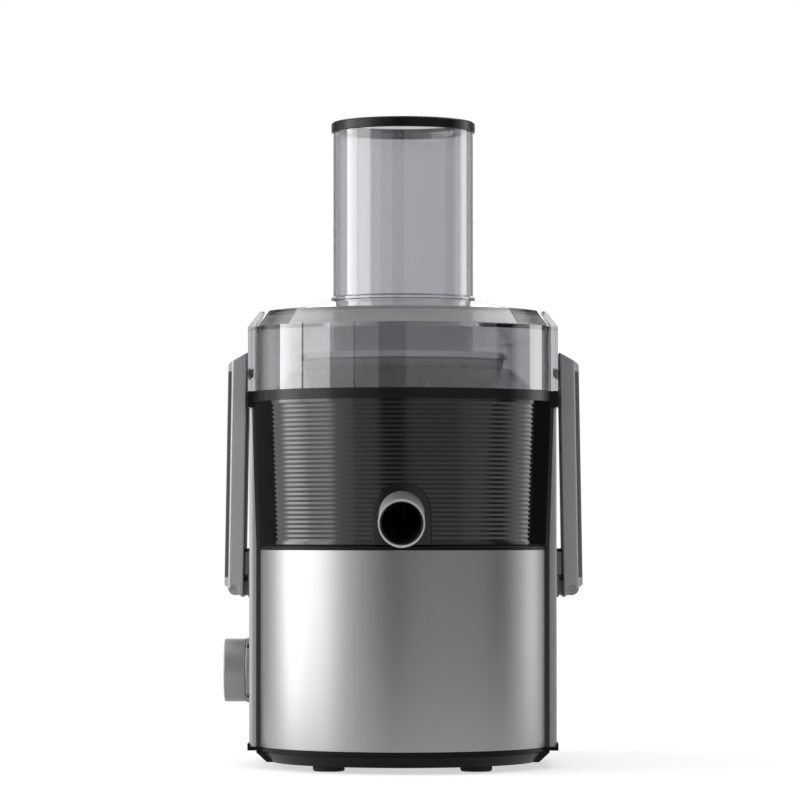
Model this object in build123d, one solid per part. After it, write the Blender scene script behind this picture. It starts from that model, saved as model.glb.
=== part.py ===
from build123d import *

import math
import os

# Centrifugal juicer with a whole-fruit feed tube, two side clamps and a pulp container behind.
# Millimetres, +Z up, the spout faces -Y. The pieces are modelled around the spindle axis and
# moved at export, so that the origin is the middle of the footprint on the worktop.

# ---------------------------------------------------------------- driving dimensions
# clearances
FIT = 0.3                    # between pieces that lift apart or pass each other
TURN_FIT = 0.05              # radial, of a pin or shaft in its hole
WALL = 2.6                   # general moulding wall

# leading sizes, which the ones below follow, from the feed tube outwards
TUBE_BORE_R, TUBE_WALL = 37.5, 2.8
TUBE_R = TUBE_BORE_R + TUBE_WALL
BASKET_LOW_R = TUBE_R + 5.9
BASKET_TOP_R = BASKET_LOW_R + 11.8
BOWL_R = BASKET_TOP_R + 21.0
COLUMN_TOP_Z = 205.4         # top of the side columns
RIM_Z = COLUMN_TOP_Z + 3.4   # rim flange of the bowl
RIM_TOP = RIM_Z + 6.0
BODY_HALF_W = BOWL_R + 8.6
BODY_REAR_Y = BOWL_R + 5.0

# base pan and feet
FOOT_H, FOOT_R = 3.4, 9.0
FOOT_X, FOOT_FRONT_Y, FOOT_REAR_Y = 41.5, 35.0 - BOWL_R, BODY_REAR_Y - 22.0
FOOT_NECK_R = 4.0
PAN_HALF_W, PAN_STEP_W = BODY_HALF_W + 0.9, BODY_HALF_W - 4.2
PAN_STEP_Z, PAN_TOP_Z, PAN_LIP_TOP_Z = 10.3, 12.5, 14.3
PAN_CHAMFER = 5.8
VENT_W, VENT_L, VENT_PITCH, VENTS = 3.0, 34.0, 7.0, 7
SCREW_R, SCREW_HEAD_R, SCREW_HEAD_H, SCREW_L = 1.5, 3.0, 1.6, 16.0
SCREW_POST_R, SCREW_POST_H = 4.2, 22.0
SCREW_X, SCREW_FRONT_Y, SCREW_REAR_Y = BODY_HALF_W - 17.6, -6.0, BODY_REAR_Y - 18.0

# motor housing
COLUMN_ANGLE = 75.0          # the front drum ends here, either side of straight ahead
DRUM_R = BOWL_R + 4.0        # moulded front wall behind the steel panel
STEEL_T = 1.0
STEEL_TOP_Z = 124.4
TRIM_H, TRIM_PROUD = 3.2, 0.4
BODY_CORNER_R = 10.0
COLUMN_EDGE_R = 3.0
DECK_T = 3.0
COLLAR_H = 26.0              # collar round the shaft, above the deck
SHAFT_SEAL_R = 10.0
SOLID_COLUMN_Y = 32.0        # the columns are solid ahead of here and hollow behind

# juice bowl
BOWL_FLOOR_GAP, BOWL_FLOOR_RISE = 4.0, 6.0
CHIMNEY_R, CHIMNEY_TOP_Z = 20.0, 176.0
SEAT_RING_R = 57.0
PANEL_R_LOW, PANEL_R_TOP, PANEL_T = BOWL_R + 5.2, BOWL_R + 8.4, 2.4
RIB_ANGLE, RIB_PITCH, RIB_DEPTH = 58.0, 2.6, 0.7
RIB_MARGIN = 1.6
RIM_R, RIM_HALF_W = BOWL_R + 8.6, BODY_HALF_W + 1.2
SEAL_R, SEAL_W, SEAL_DEPTH = BOWL_R + 3.6, 2.4, 1.6
SPLASH_R, SPLASH_TOP_Z, SPLASH_T = BASKET_TOP_R + 4.4, RIM_TOP + 12.2, 1.8

# spout
SPOUT_R, SPOUT_WALL, SPOUT_TILT = 12.7, 1.6, 15.0
SPOUT_REACH = 20.0           # past the front panel
SPOUT_END_Z = 139.3          # centre of the open end
SPOUT_RING_T, SPOUT_RING_OUT = 1.2, 0.25
ARCH_HALF_W, ARCH_TOP_Z, ARCH_PROUD = 16.4, 161.8, 0.9

# cover and feed tube
COVER_R, COVER_HALF_W, COVER_H = BOWL_R + 8.0, BODY_HALF_W + 0.8, 45.8
SHOULDER_H, SHOULDER_IN = 9.1, 6.6
DOME_R, DOME_H = COVER_R - 7.0, 6.8
TAIL_R, TAIL_SIDE, TAIL_END = 38.0, 2.0, 3.0    # past the pulp container at the sides and back
TUBE_TOP_Z = 370.2
TUBE_END_GAP = 3.0           # tube end above the grater teeth
TUBE_COLLAR_W, TUBE_COLLAR_H = 1.2, 1.4
TUBE_RING_H, TUBE_RING_OUT, TUBE_RING_LIP = 5.9, 1.1, 2.0

# spinner: hub, grater disc and filter basket
DISC_R, DISC_T, DISC_Z = BASKET_LOW_R - 1.2, 1.2, 194.2
TOOTH_H, TOOTH_L, TOOTH_W = 1.8, 3.4, 2.2
TOOTH_ARMS, TEETH_PER_ARM, TOOTH_SWEEP = 6, 6, 8.0
BASKET_TOP_Z, BASKET_T = RIM_TOP + 20.2, 0.8
BASKET_FOOT_W = 10.2
BASKET_RIM_H, BASKET_RIM_W, BASKET_GRIP = 4.5, 2.6, 3.0
SLOT_ROWS, SLOTS_PER_ROW, SLOT_W, SLOT_H, SLOT_PITCH = 4, 24, 1.5, 5.6, 8.8
HUB_PLATE_R, HUB_PLATE_T = BASKET_LOW_R + 1.8, 3.0
HUB_R, SKIRT_R, SKIRT_WALL, SKIRT_Z = 12.5, 28.0, 2.4, 166.0
RIVET_R, RIVET_HEAD_R, RIVET_HEAD_H, RIVET_PLACE_R, RIVETS = 1.5, 2.8, 1.0, 18.0, 4
COUPLING_R, COUPLING_H, COUPLING_SPLINES = 7.6, 15.0, 6
SPLINE_W, SPLINE_OUT = 3.0, 1.8
SPLINE_FIT = 0.35

# side clamps
ARM_Y, ARM_W = 25.0, 44.0    # middle and width of a clamp, front to back
ARM_T, ARM_BULGE, ARM_EDGE_R = 11.8, 3.5, 1.0
ARM_TOP_X, ARM_LOW_X = BODY_HALF_W + 14.2, BODY_HALF_W + 16.3    # outer face at its two ends
ARM_TOP_IN_Z, ARM_TOP_OUT_Z = RIM_TOP + 23.0, RIM_TOP + 16.4
ARM_LOW_IN_Z, ARM_LOW_OUT_Z = 96.9, 104.4
GRIP_END = 12.0              # solid length at both ends of the hollow grip
FACING_T, FACING_EDGE, FACING_END = 0.9, 1.6, 4.0
PIVOT_X, PIVOT_Z = BODY_HALF_W + 9.7, 102.2
KNUCKLE_R, KNUCKLE_W, PIN_R = 4.2, 16.0, 1.8
BRACKET_W, BRACKET_T, BRACKET_TOP_Z = 30.0, 2.0, 125.0
BRACKET_LOW_Z, BRACKET_STEP_Z, BRACKET_REACH = 97.0, 110.0, BODY_HALF_W + 3.9
HOOK_Z, HOOK_TIP_H, HOOK_W = RIM_TOP + 10.2, 3.0, 20.0
HOOK_TIP_X, HOOK_ROOT_X = BODY_HALF_W - 0.9, BODY_HALF_W + 4.3

# speed dial
DIAL_Y, DIAL_Z, DIAL_R, DIAL_REACH = 25.0, 54.5, 18.2, 16.0
DIAL_BASE_R, DIAL_BASE_T = 18.9, 3.4
DIAL_GRIP_W, DIAL_SCOOP_H = 8.0, 6.0
DIAL_SHAFT_R, DIAL_SHAFT_L = 3.0, 26.0
SWITCH_L, SWITCH_W, SWITCH_H = 20.0, 24.0, 28.0

# pulp container
TUB_HALF_W, TUB_FRONT_Y, TUB_L = 67.0, BODY_REAR_Y + 2.0, 100.0
TUB_CORNER_R, TUB_WALL, TUB_DRAFT = 30.0, 2.2, 1.1
TUB_TOP_GAP = 0.8
TUB_RIM_H, TUB_RIM_OUT = 5.0, 1.6

# motor
SHAFT_R, SHAFT_LOW_Z = 4.0, 16.0
BEARING_R, BEARING_H, LOW_BEARING_Z, TOP_BEARING_Z = 9.5, 7.0, 18.0, 112.0
BEARING_RACE_T, SHIELD_T, SHIELD_IN = 1.4, 0.6, 0.6
COMMUTATOR_R, COMMUTATOR_H, COMMUTATOR_Z, BARS = 12.0, 15.0, 29.0, 16
CORE_Z, CORE_H = 52.0, 38.0
ARMATURE_R, AIR_GAP, ARMATURE_SLOTS, SLOT_DEPTH, SLOT_MOUTH = 21.5, 0.6, 10, 7.0, 2.4
WINDING_OVERHANG = 7.0
STATOR_W, STATOR_D, STATOR_CORNER_R = 76.0, 64.0, 16.0
STATOR_WINDOW_R, POLE_TIP_T, POLE_ANGLE, POLE_NECK_W = 29.5, 3.0, 62.0, 22.0
COIL_OVERHANG = 6.0
FAN_Z, FAN_H, FAN_R, FAN_BLADES, FAN_BLADE_T = 99.0, 9.0, 29.0, 9, 1.4
FRAME_T, FRAME_BAR_W = 3.0, 18.0
FRAME_WINDOWS, FRAME_WINDOW_R, FRAME_WINDOW_L, FRAME_WINDOW_W = 6, 24.0, 16.0, 6.0
MOUNT_X, MOUNT_Y, MOUNT_R, RUBBER_H = 36.0, 30.0, 5.0, 4.0
BRUSH_W, BRUSH_H, BRUSH_L = 6.0, 9.0, 13.0
BRUSH_SPRING_R, BRUSH_SPRING_TURNS = 2.2, 2
HOLDER_WALL, HOLDER_L = 1.2, 19.0

# safety interlock
INTERLOCK_Y = 50.0
PLUNGER_R, PLUNGER_TRAVEL = 2.2, 2.5
PLUNGER_FLANGE_R, PLUNGER_FLANGE_T, PLUNGER_L = 4.2, 1.2, 26.0
SENSOR_L, SENSOR_W, SENSOR_H = 12.0, 16.0, 18.0
SPRING_WIRE_R, SPRING_TURNS = 0.35, 4

# cord gland
GLAND_R, GLAND_X, GLAND_Z, GLAND_OUT, GLAND_FLANGE_R = 4.6, 13.6 - BODY_HALF_W, 26.0, 14.0, 6.0
CORD_BORE_R = 3.0

# ---------------------------------------------------------------- worked-out places
PAN_Z = FOOT_H
DECK_TOP = STEEL_TOP_Z + TRIM_H
DECK_Z = DECK_TOP - DECK_T
COLUMN_Y = -DRUM_R * math.cos(math.radians(COLUMN_ANGLE))
COLLAR_R = CHIMNEY_R - 2 * FIT
COLLAR_TOP = DECK_TOP + COLLAR_H
BOWL_FLOOR = DECK_TOP + BOWL_FLOOR_GAP
CHIMNEY_OUT_R = CHIMNEY_R + WALL
COVER_TOP = RIM_TOP + COVER_H
DOME_TOP = COVER_TOP + DOME_H
TUBE_END_Z = DISC_Z + DISC_T + TOOTH_H + TUBE_END_GAP
HUB_PLATE_Z = DISC_Z - BASKET_T - HUB_PLATE_T
COUPLING_Z = COLLAR_TOP + 2.0
SHAFT_TOP_Z = COUPLING_Z + COUPLING_H
FRONT_REACH = PANEL_R_LOW + SPOUT_REACH
TUB_REAR_Y = TUB_FRONT_Y + TUB_L
TAIL_X, TAIL_Y = TUB_HALF_W + TAIL_SIDE - TAIL_R, TUB_REAR_Y + TAIL_END - TAIL_R
TAIL_REACH = TAIL_Y + TAIL_R
SPINDLE_Y = (FRONT_REACH - TAIL_REACH) / 2
FRAME_Z = TOP_BEARING_Z - FRAME_T
INTERLOCK_X = BODY_HALF_W - WALL - SENSOR_L / 2
MOUNT_PLACES = [(x, y) for x in (-MOUNT_X, MOUNT_X) for y in (-MOUNT_Y, MOUNT_Y)]
FOOT_PLACES = [(x, y) for x in (-FOOT_X, FOOT_X) for y in (FOOT_FRONT_Y, FOOT_REAR_Y)]
SCREW_PLACES = [(x, y) for x in (-SCREW_X, SCREW_X) for y in (SCREW_FRONT_Y, SCREW_REAR_Y)]


# ---------------------------------------------------------------- small helpers
UP = (Align.CENTER, Align.CENTER, Align.MIN)


def disc(radius, z0, z1):
    """Upright cylinder on the spindle axis."""
    return Pos(0, 0, z0) * Cylinder(radius, z1 - z0, align=UP)


def ring(inner, outer, z0, z1):
    """Upright tube on the spindle axis."""
    return disc(outer, z0, z1) - disc(inner, z0 - 1, z1 + 1)


def prism(sketch, z0, z1):
    """A flat shape pulled up from z0 to z1."""
    return extrude(Pos(0, 0, z0) * sketch, z1 - z0)


def block(x0, x1, y0, y1, z0, z1):
    """Box between two corners."""
    size = (x1 - x0, y1 - y0, z1 - z0)
    return Pos((x0 + x1) / 2, (y0 + y1) / 2, (z0 + z1) / 2) * Box(*size)


def turned(points, arc=360.0):
    """Profile of (radius, height) points turned about the spindle, centred on straight ahead."""
    profile = Plane.XZ * make_face(Polyline(*points, close=True))
    return Rot(0, 0, -90 - arc / 2) * revolve(profile, Axis.Z, revolution_arc=arc)


def wedge(angle, reach):
    """Flat wedge that opens forward by the angle either side of straight ahead."""
    far = 5 * reach
    side, ahead = far * math.sin(math.radians(angle)), far * math.cos(math.radians(angle))
    return make_face(Polyline((0, 0), (-side, -ahead), (side, -ahead), close=True))


def y_rod(radius, x, z, y0, y1):
    """Round rod along Y."""
    return Pos(x, y0, z) * Rot(-90, 0, 0) * Cylinder(radius, y1 - y0, align=UP)


def x_rod(radius, y, z, x0, x1):
    """Round rod along X."""
    return Pos(x0, y, z) * Rot(0, 90, 0) * Cylinder(radius, x1 - x0, align=UP)


def x_ring(inner, outer, y, z, x0, x1):
    """Tube along X."""
    return x_rod(outer, y, z, x0, x1) - x_rod(inner, y, z, x0 - 1, x1 + 1)


def around(count, piece, start=0.0):
    """Copies of a piece spaced evenly about the spindle."""
    return [Rot(0, 0, start + 360.0 * i / count) * piece for i in range(count)]


def left(piece):
    """The same piece on the left-hand side."""
    return mirror(piece, Plane.YZ)


def group(pieces):
    """Separate solids that share one node."""
    return Compound([solid for piece in pieces for solid in piece.solids()])


def at_z(z):
    """Picks the edges that lie level at a height."""
    return lambda edge: abs(edge.center().Z - z) < 0.01 and edge.bounding_box().size.Z < 0.02


def coil(radius, height, turns):
    """Spring of square wire, upright on the spindle axis."""
    path = Helix(height / turns, height, radius)
    side = 2 * SPRING_WIRE_R
    return sweep(Plane(path @ 0, z_dir=path % 0) * Rectangle(side, side), path)


# ---------------------------------------------------------------- plan outlines
def body_outline(front_r, half_w, inset=0.0):
    """Front drum and the wider side and rear section, seen from above."""
    depth = BODY_REAR_Y - COLUMN_Y
    rear = Pos(0, COLUMN_Y + depth / 2) * Rectangle(2 * half_w, depth)
    rear = fillet(rear.vertices().group_by(Axis.Y)[-1], BODY_CORNER_R)
    outline = (Circle(front_r) & Pos(0, -front_r) * Rectangle(4 * front_r, 2 * front_r)) + rear
    return offset(outline, -inset) if inset else outline


def cover_outline(inset=0.0):
    """Drum front, side lugs and the tail that reaches back over the pulp container."""
    circles = [Circle(COVER_R - inset)]
    circles += [Pos(x, TAIL_Y) * Circle(TAIL_R - inset) for x in (-TAIL_X, TAIL_X)]
    hull = make_face(make_hull([edge for circle in circles for edge in circle.edges()]))
    if inset:
        return hull
    rear = ARM_Y + ARM_W / 2
    return hull + Pos(0, (COLUMN_Y + rear) / 2) * Rectangle(2 * COVER_HALF_W, rear - COLUMN_Y)


def rear_half(y0):
    """Flat mask of everything behind a line."""
    return Pos(0, y0 + 2 * BODY_HALF_W) * Rectangle(6 * BODY_HALF_W, 4 * BODY_HALF_W)


def arch(half_w, top_z):
    """Tombstone shape on the XZ plane, open at the foot of the front panel."""
    straight = top_z - half_w
    foot = DECK_TOP - 10
    shape = Pos(0, (foot + straight) / 2) * Rectangle(2 * half_w, straight - foot)
    return Plane.XZ * (shape + Pos(0, straight) * Circle(half_w))


def panel_radius(z):
    """Outer radius of the flared front panel at a height."""
    share = (z - DECK_TOP) / (RIM_Z - DECK_TOP)
    return PANEL_R_LOW + share * (PANEL_R_TOP - PANEL_R_LOW)


# ---------------------------------------------------------------- base pan
def base_pan():
    step = body_outline(DRUM_R + STEEL_T - WALL, PAN_STEP_W)
    pan = prism(step, PAN_Z, PAN_STEP_Z)
    pan = chamfer(pan.edges().filter_by(at_z(PAN_Z)), PAN_CHAMFER)
    pan += prism(body_outline(DRUM_R + STEEL_T, PAN_HALF_W), PAN_STEP_Z, PAN_TOP_Z)
    inner = offset(step, -PAN_CHAMFER - WALL)
    pan -= prism(inner, PAN_Z + WALL, PAN_TOP_Z + 1)
    lip = body_outline(DRUM_R, PAN_HALF_W) - body_outline(DRUM_R, BODY_HALF_W + FIT)
    pan += prism(lip & rear_half(COLUMN_Y), PAN_TOP_Z, PAN_LIP_TOP_Z)
    for i in range(VENTS):
        vent = Pos(0, (i - (VENTS - 1) / 2) * VENT_PITCH) * SlotOverall(VENT_L, VENT_W)
        pan -= prism(vent, PAN_Z - 1, PAN_Z + WALL + 1)
    for x, y in FOOT_PLACES:
        pan -= Pos(x, y) * disc(FOOT_NECK_R, PAN_Z - 1, PAN_Z + WALL + 1)
    for x, y in SCREW_PLACES:
        pan += Pos(x, y) * disc(SCREW_POST_R, PAN_Z + WALL, PAN_TOP_Z)
        pan -= Pos(x, y) * disc(SCREW_R + FIT, PAN_Z - 1, PAN_TOP_Z + 1)
        pan -= Pos(x, y) * disc(SCREW_HEAD_R + FIT, PAN_Z - 1, PAN_Z + SCREW_HEAD_H)
    return pan


def rubber_feet():
    """Pads with a neck and a bulb that snap into the base pan."""
    pad = disc(FOOT_R, 0, FOOT_H)
    pad = chamfer(pad.edges().filter_by(at_z(0)), 0.8)
    neck = disc(FOOT_NECK_R, FOOT_H, FOOT_H + WALL)
    bulb = Pos(0, 0, FOOT_H + WALL) * Cone(FOOT_NECK_R + 1.2, FOOT_NECK_R - 1, 2.4, align=UP)
    foot = pad + neck + bulb
    return group([Pos(x, y) * foot for x, y in FOOT_PLACES])


def base_screws():
    """Screws that come up through the pan into the posts of the housing."""
    top = PAN_Z + SCREW_HEAD_H
    head = disc(SCREW_HEAD_R, PAN_Z, top)
    head -= prism(RectangleRounded(3.4, 0.9, 0.2) + RectangleRounded(0.9, 3.4, 0.2), PAN_Z - 1, PAN_Z + 0.9)
    screw = head + disc(SCREW_R, top, top + SCREW_L)
    return group([Pos(x, y) * screw for x, y in SCREW_PLACES])


# ---------------------------------------------------------------- motor housing
def housing_posts():
    """Screw posts, each tied to the side wall by a rib."""
    posts = []
    for x, y in SCREW_PLACES:
        side = math.copysign(1, x)
        near, far = sorted((x, side * (BODY_HALF_W - WALL / 2)))
        post = Pos(x, y) * disc(SCREW_POST_R, PAN_TOP_Z, PAN_TOP_Z + SCREW_POST_H)
        post += block(near, far, y - WALL / 2, y + WALL / 2, PAN_TOP_Z, PAN_TOP_Z + SCREW_POST_H)
        hole = Pos(x, y) * disc(SCREW_R, PAN_TOP_Z - 1, PAN_Z + SCREW_HEAD_H + SCREW_L + 1)
        posts.append(post - hole)
    return posts


def motor_housing():
    """One moulding: drum wall, side columns, rear wall, deck and shaft collar."""
    outline = body_outline(DRUM_R, BODY_HALF_W)
    inner = body_outline(DRUM_R, BODY_HALF_W, WALL)
    shell = prism(outline, PAN_TOP_Z, COLUMN_TOP_Z)
    edges = shell.edges().filter_by(Axis.Z)
    corners = edges.filter_by(lambda e: e.center().Y < COLUMN_Y + 1 and abs(e.center().X) > BODY_HALF_W - 1)
    shell = fillet(corners, COLUMN_EDGE_R)
    shell -= prism(inner, PAN_TOP_Z - 1, DECK_Z)
    nest = BOWL_R + FIT
    hollow = (inner & rear_half(SOLID_COLUMN_Y)) - Circle(nest + WALL)
    shell -= prism(hollow, DECK_Z - 1, COLUMN_TOP_Z - WALL)
    shell -= disc(nest, DECK_TOP, COLUMN_TOP_Z + 1)
    shell -= prism(wedge(COLUMN_ANGLE, DRUM_R), DECK_TOP, COLUMN_TOP_Z + 1)
    shell += ring(SHAFT_R + 4 * FIT, COLLAR_R, DECK_Z, COLLAR_TOP)
    shell -= disc(COLLAR_R - WALL, DECK_Z - 1, COLLAR_TOP - WALL)
    shell -= disc(SHAFT_SEAL_R, COLLAR_TOP - WALL - 1, COLLAR_TOP + 1)
    for x, y in MOUNT_PLACES:
        shell += Pos(x, y) * disc(MOUNT_R, FRAME_Z + FRAME_T + RUBBER_H, DECK_Z + 1)
        shell -= Pos(x, y) * disc(SCREW_R, FRAME_Z, DECK_Z)
    for post in housing_posts():
        shell += post
    shell -= x_rod(DIAL_SHAFT_R + FIT, DIAL_Y, DIAL_Z, -BODY_HALF_W - 1, -BODY_HALF_W + 2 * WALL)
    shell -= Pos(INTERLOCK_X, INTERLOCK_Y) * disc(PLUNGER_R + FIT, DECK_TOP, COLUMN_TOP_Z + 1)
    shell -= y_rod(GLAND_R, GLAND_X, GLAND_Z, BODY_REAR_Y - 2 * WALL, BODY_REAR_Y + 1)
    return shell


def shaft_seal():
    """Rubber lip seal at the top of the collar, round the motor shaft."""
    top = COLLAR_TOP
    return turned([
        (SHAFT_R + FIT, top - WALL), (SHAFT_SEAL_R, top - WALL), (SHAFT_SEAL_R, top),
        (SHAFT_R + 3, top), (SHAFT_R + FIT, top + 0.8),
    ])


def steel_front_panel():
    sheet = ring(DRUM_R, DRUM_R + STEEL_T, PAN_TOP_Z, STEEL_TOP_Z)
    return sheet & prism(wedge(COLUMN_ANGLE - 0.4, DRUM_R), PAN_TOP_Z, STEEL_TOP_Z)


def front_trim_strip():
    """Dark strip between the steel and the bowl's front panel, with a bevelled edge."""
    outer = DRUM_R + STEEL_T + TRIM_PROUD
    top = DECK_TOP - FIT
    profile = [(DRUM_R, STEEL_TOP_Z), (outer, STEEL_TOP_Z), (outer, top - 1), (outer - 1, top), (DRUM_R, top)]
    return turned(profile, 2 * COLUMN_ANGLE - 1)


# ---------------------------------------------------------------- juice bowl
def spout_bar(radius, start, end):
    """Sloping round bar along the spout, cut off upright at two distances ahead."""
    tilt = math.radians(SPOUT_TILT)
    extra = 2 * radius
    run = end - start + 2 * extra
    rise = (FRONT_REACH - start + extra) * math.tan(tilt)
    rod = Cylinder(radius, run / math.cos(tilt), align=UP)
    rod = Pos(0, extra - start, SPOUT_END_Z + rise) * Rot(90 + SPOUT_TILT, 0, 0) * rod
    return rod & block(-extra, extra, -end, -start, 0, 2 * SPOUT_END_Z)


def bowl_rim_outline():
    """Rim flange, flush with the cover in front and with the columns at the sides."""
    depth = BODY_REAR_Y - COLUMN_Y
    sides = Pos(0, COLUMN_Y + depth / 2) * Rectangle(2 * RIM_HALF_W, depth)
    sides = fillet(sides.vertices().group_by(Axis.Y)[-1], BODY_CORNER_R)
    return (Circle(RIM_R) & Pos(0, -RIM_R) * Rectangle(4 * RIM_R, 2 * RIM_R)) + sides


def juice_bowl():
    """Drum with a raised chimney in the middle and a falling floor."""
    inner = BOWL_R - WALL
    floor = BOWL_FLOOR + WALL
    bowl = turned([
        (CHIMNEY_R, BOWL_FLOOR), (BOWL_R, BOWL_FLOOR), (BOWL_R, RIM_TOP), (inner, RIM_TOP),
        (inner, floor), (CHIMNEY_OUT_R, floor + BOWL_FLOOR_RISE), (CHIMNEY_OUT_R, CHIMNEY_TOP_Z),
        (CHIMNEY_R, CHIMNEY_TOP_Z),
    ])
    bowl += ring(SEAT_RING_R, SEAT_RING_R + WALL, DECK_TOP, BOWL_FLOOR)
    return bowl - spout_bar(SPOUT_R, inner - WALL, BOWL_R + 1)


def bowl_rim():
    """Flange round the bowl's mouth, with ears down to the columns and a groove for the seal."""
    rim = prism(bowl_rim_outline(), RIM_Z, RIM_TOP)
    ears = prism(bowl_rim_outline() & rear_half(COLUMN_Y), COLUMN_TOP_Z + FIT, RIM_Z)
    rim += ears - prism(wedge(COLUMN_ANGLE, RIM_R), COLUMN_TOP_Z, RIM_Z)
    rim -= disc(BOWL_R, COLUMN_TOP_Z, RIM_TOP + 1)
    return rim - ring(SEAL_R - SEAL_W / 2, SEAL_R + SEAL_W / 2, RIM_TOP - SEAL_DEPTH, RIM_TOP + 1)


def bowl_front_panel():
    """Flared front skin of the bowl: fine level ribs between two smooth bands."""
    z0, z1 = DECK_TOP, RIM_Z
    count = int((z1 - z0 - 2 * RIB_MARGIN) / RIB_PITCH)
    start = (z0 + z1 - count * RIB_PITCH) / 2
    top = start + count * RIB_PITCH
    skin = [(panel_radius(z0), z0), (panel_radius(z1), z1), (BOWL_R, z1), (BOWL_R, z0)]
    panel = turned(skin, 2 * COLUMN_ANGLE - 1)
    panel -= disc(panel_radius(z0) - PANEL_T, z0 - 1, z1 - PANEL_T)
    grooves = [(panel_radius(start) + 1, start)]
    for i in range(count):
        low = start + i * RIB_PITCH
        grooves.append((panel_radius(low), low))
        grooves.append((panel_radius(low) - RIB_DEPTH, low + RIB_PITCH / 2))
    grooves += [(panel_radius(top), top), (panel_radius(top) + 1, top)]
    panel -= turned(grooves, 2 * RIB_ANGLE)
    return panel - extrude(arch(ARCH_HALF_W, ARCH_TOP_Z), 2 * RIM_R)


def spout_surround():
    """Arch-shaped boss that fills the notch of the front panel and carries the nozzle."""
    z0, z1 = DECK_TOP, RIM_Z
    face = [(panel_radius(z0) + ARCH_PROUD, z0), (panel_radius(z1) + ARCH_PROUD, z1)]
    boss = turned([*face, (BOWL_R, z1), (BOWL_R, z0)], 2 * RIB_ANGLE)
    boss &= extrude(arch(ARCH_HALF_W - FIT, ARCH_TOP_Z - FIT), 2 * RIM_R)
    return boss - spout_bar(SPOUT_R, BOWL_R - 5, FRONT_REACH)


def spout_nozzle():
    start, end = BOWL_R - WALL, FRONT_REACH - SPOUT_RING_T
    tube = spout_bar(SPOUT_R, start - WALL, end)
    tube -= spout_bar(SPOUT_R - SPOUT_WALL, start - 2 * WALL, end + 1)
    return tube - disc(start, 0, RIM_Z)


def spout_ring():
    """Thin bright ring on the open end of the spout."""
    start = FRONT_REACH - SPOUT_RING_T
    tube = spout_bar(SPOUT_R + SPOUT_RING_OUT, start, FRONT_REACH)
    return tube - spout_bar(SPOUT_R - SPOUT_WALL, start - 1, FRONT_REACH + 1)


def bowl_seal():
    """Rubber ring let into the rim flange, under the cover."""
    return ring(SEAL_R - SEAL_W / 2, SEAL_R + SEAL_W / 2, RIM_TOP - SEAL_DEPTH, RIM_TOP)


def splash_ring():
    """Clear funnel ring on the bowl's rim that keeps juice below and pulp above."""
    seat = BOWL_R - WALL - FIT
    foot = RIM_TOP - 2 * SPLASH_T
    return turned([
        (seat - SPLASH_T, foot), (seat, foot), (seat, RIM_TOP), (seat - SPLASH_T, RIM_TOP + SPLASH_T),
        (SPLASH_R + SPLASH_T, SPLASH_TOP_Z), (SPLASH_R, SPLASH_TOP_Z), (SPLASH_R, SPLASH_TOP_Z - SPLASH_T),
        (seat - SPLASH_T, RIM_TOP - SPLASH_T),
    ])


# ---------------------------------------------------------------- cover and feed tube
def cover_form(inset):
    """The cover's outer form, or the hollow inside it."""
    top = COVER_TOP - inset
    base = RIM_TOP - (1 if inset else 0)
    form = prism(cover_outline(inset), base, top)
    form = chamfer(form.edges().filter_by(at_z(top)), SHOULDER_H, SHOULDER_IN)
    dome = [(0, top - 1), (DOME_R, top - 1), (DOME_R, top), (TUBE_R, top + DOME_H), (0, top + DOME_H)]
    return form + turned(dome)


def hook_profile(gap):
    """Right-hand clamp hook on the XZ plane, with a ramp of 45 degrees below."""
    tip_x = HOOK_TIP_X - gap
    low, top = HOOK_Z - gap * math.sqrt(2), HOOK_Z + HOOK_TIP_H + gap
    ramp_foot = low - (HOOK_ROOT_X - tip_x)
    points = [(tip_x, low), (HOOK_ROOT_X, ramp_foot), (HOOK_ROOT_X, top), (tip_x, top)]
    return Plane.XZ * make_face(Polyline(*points, close=True))


def hook(gap):
    """The hook itself, or the pocket that takes it with a gap all round."""
    width = HOOK_W + 2 * gap
    return Pos(0, ARM_Y + width / 2, 0) * extrude(hook_profile(gap), width)


def cover_shell():
    """Clear lid with thick side lugs for the clamps and a tail over the pulp container."""
    cover = cover_form(0) - cover_form(WALL)
    cover -= disc(TUBE_R, RIM_TOP, DOME_TOP + 1)
    pocket = hook(2 * FIT)
    return cover - pocket - left(pocket)


def feed_tube():
    """Clear whole-fruit tube, with a collar that seats it on the dome."""
    tube = ring(TUBE_BORE_R, TUBE_R, TUBE_END_Z, TUBE_TOP_Z - TUBE_RING_LIP)
    seat = TUBE_R + TUBE_COLLAR_W
    seat_z = DOME_TOP
    return tube + turned([
        (TUBE_R - 1, seat_z), (seat, seat_z), (seat, seat_z + TUBE_COLLAR_H),
        (TUBE_R - 1, seat_z + TUBE_COLLAR_H + TUBE_COLLAR_W),
    ])


def feed_tube_ring():
    """Dark mouth ring that caps the end of the feed tube."""
    z0, z1, out = TUBE_TOP_Z - TUBE_RING_H, TUBE_TOP_Z, TUBE_R + TUBE_RING_OUT
    lip = z1 - TUBE_RING_LIP
    return turned([
        (TUBE_R, z0), (out - 0.3, z0), (out, z0 + 0.4), (out, z1 - 1.0), (out - 0.4, z1 - 0.3),
        (out - 1.2, z1), (TUBE_BORE_R + 0.5, z1), (TUBE_BORE_R, z1 - 0.5), (TUBE_BORE_R, lip), (TUBE_R, lip),
    ])


# ---------------------------------------------------------------- spinner
def splines(radius, out, width, z0, z1):
    """Straight teeth of the drive coupling."""
    tooth = block(radius - 1, radius + out, -width / 2, width / 2, z0, z1)
    return around(COUPLING_SPLINES, tooth)


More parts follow.
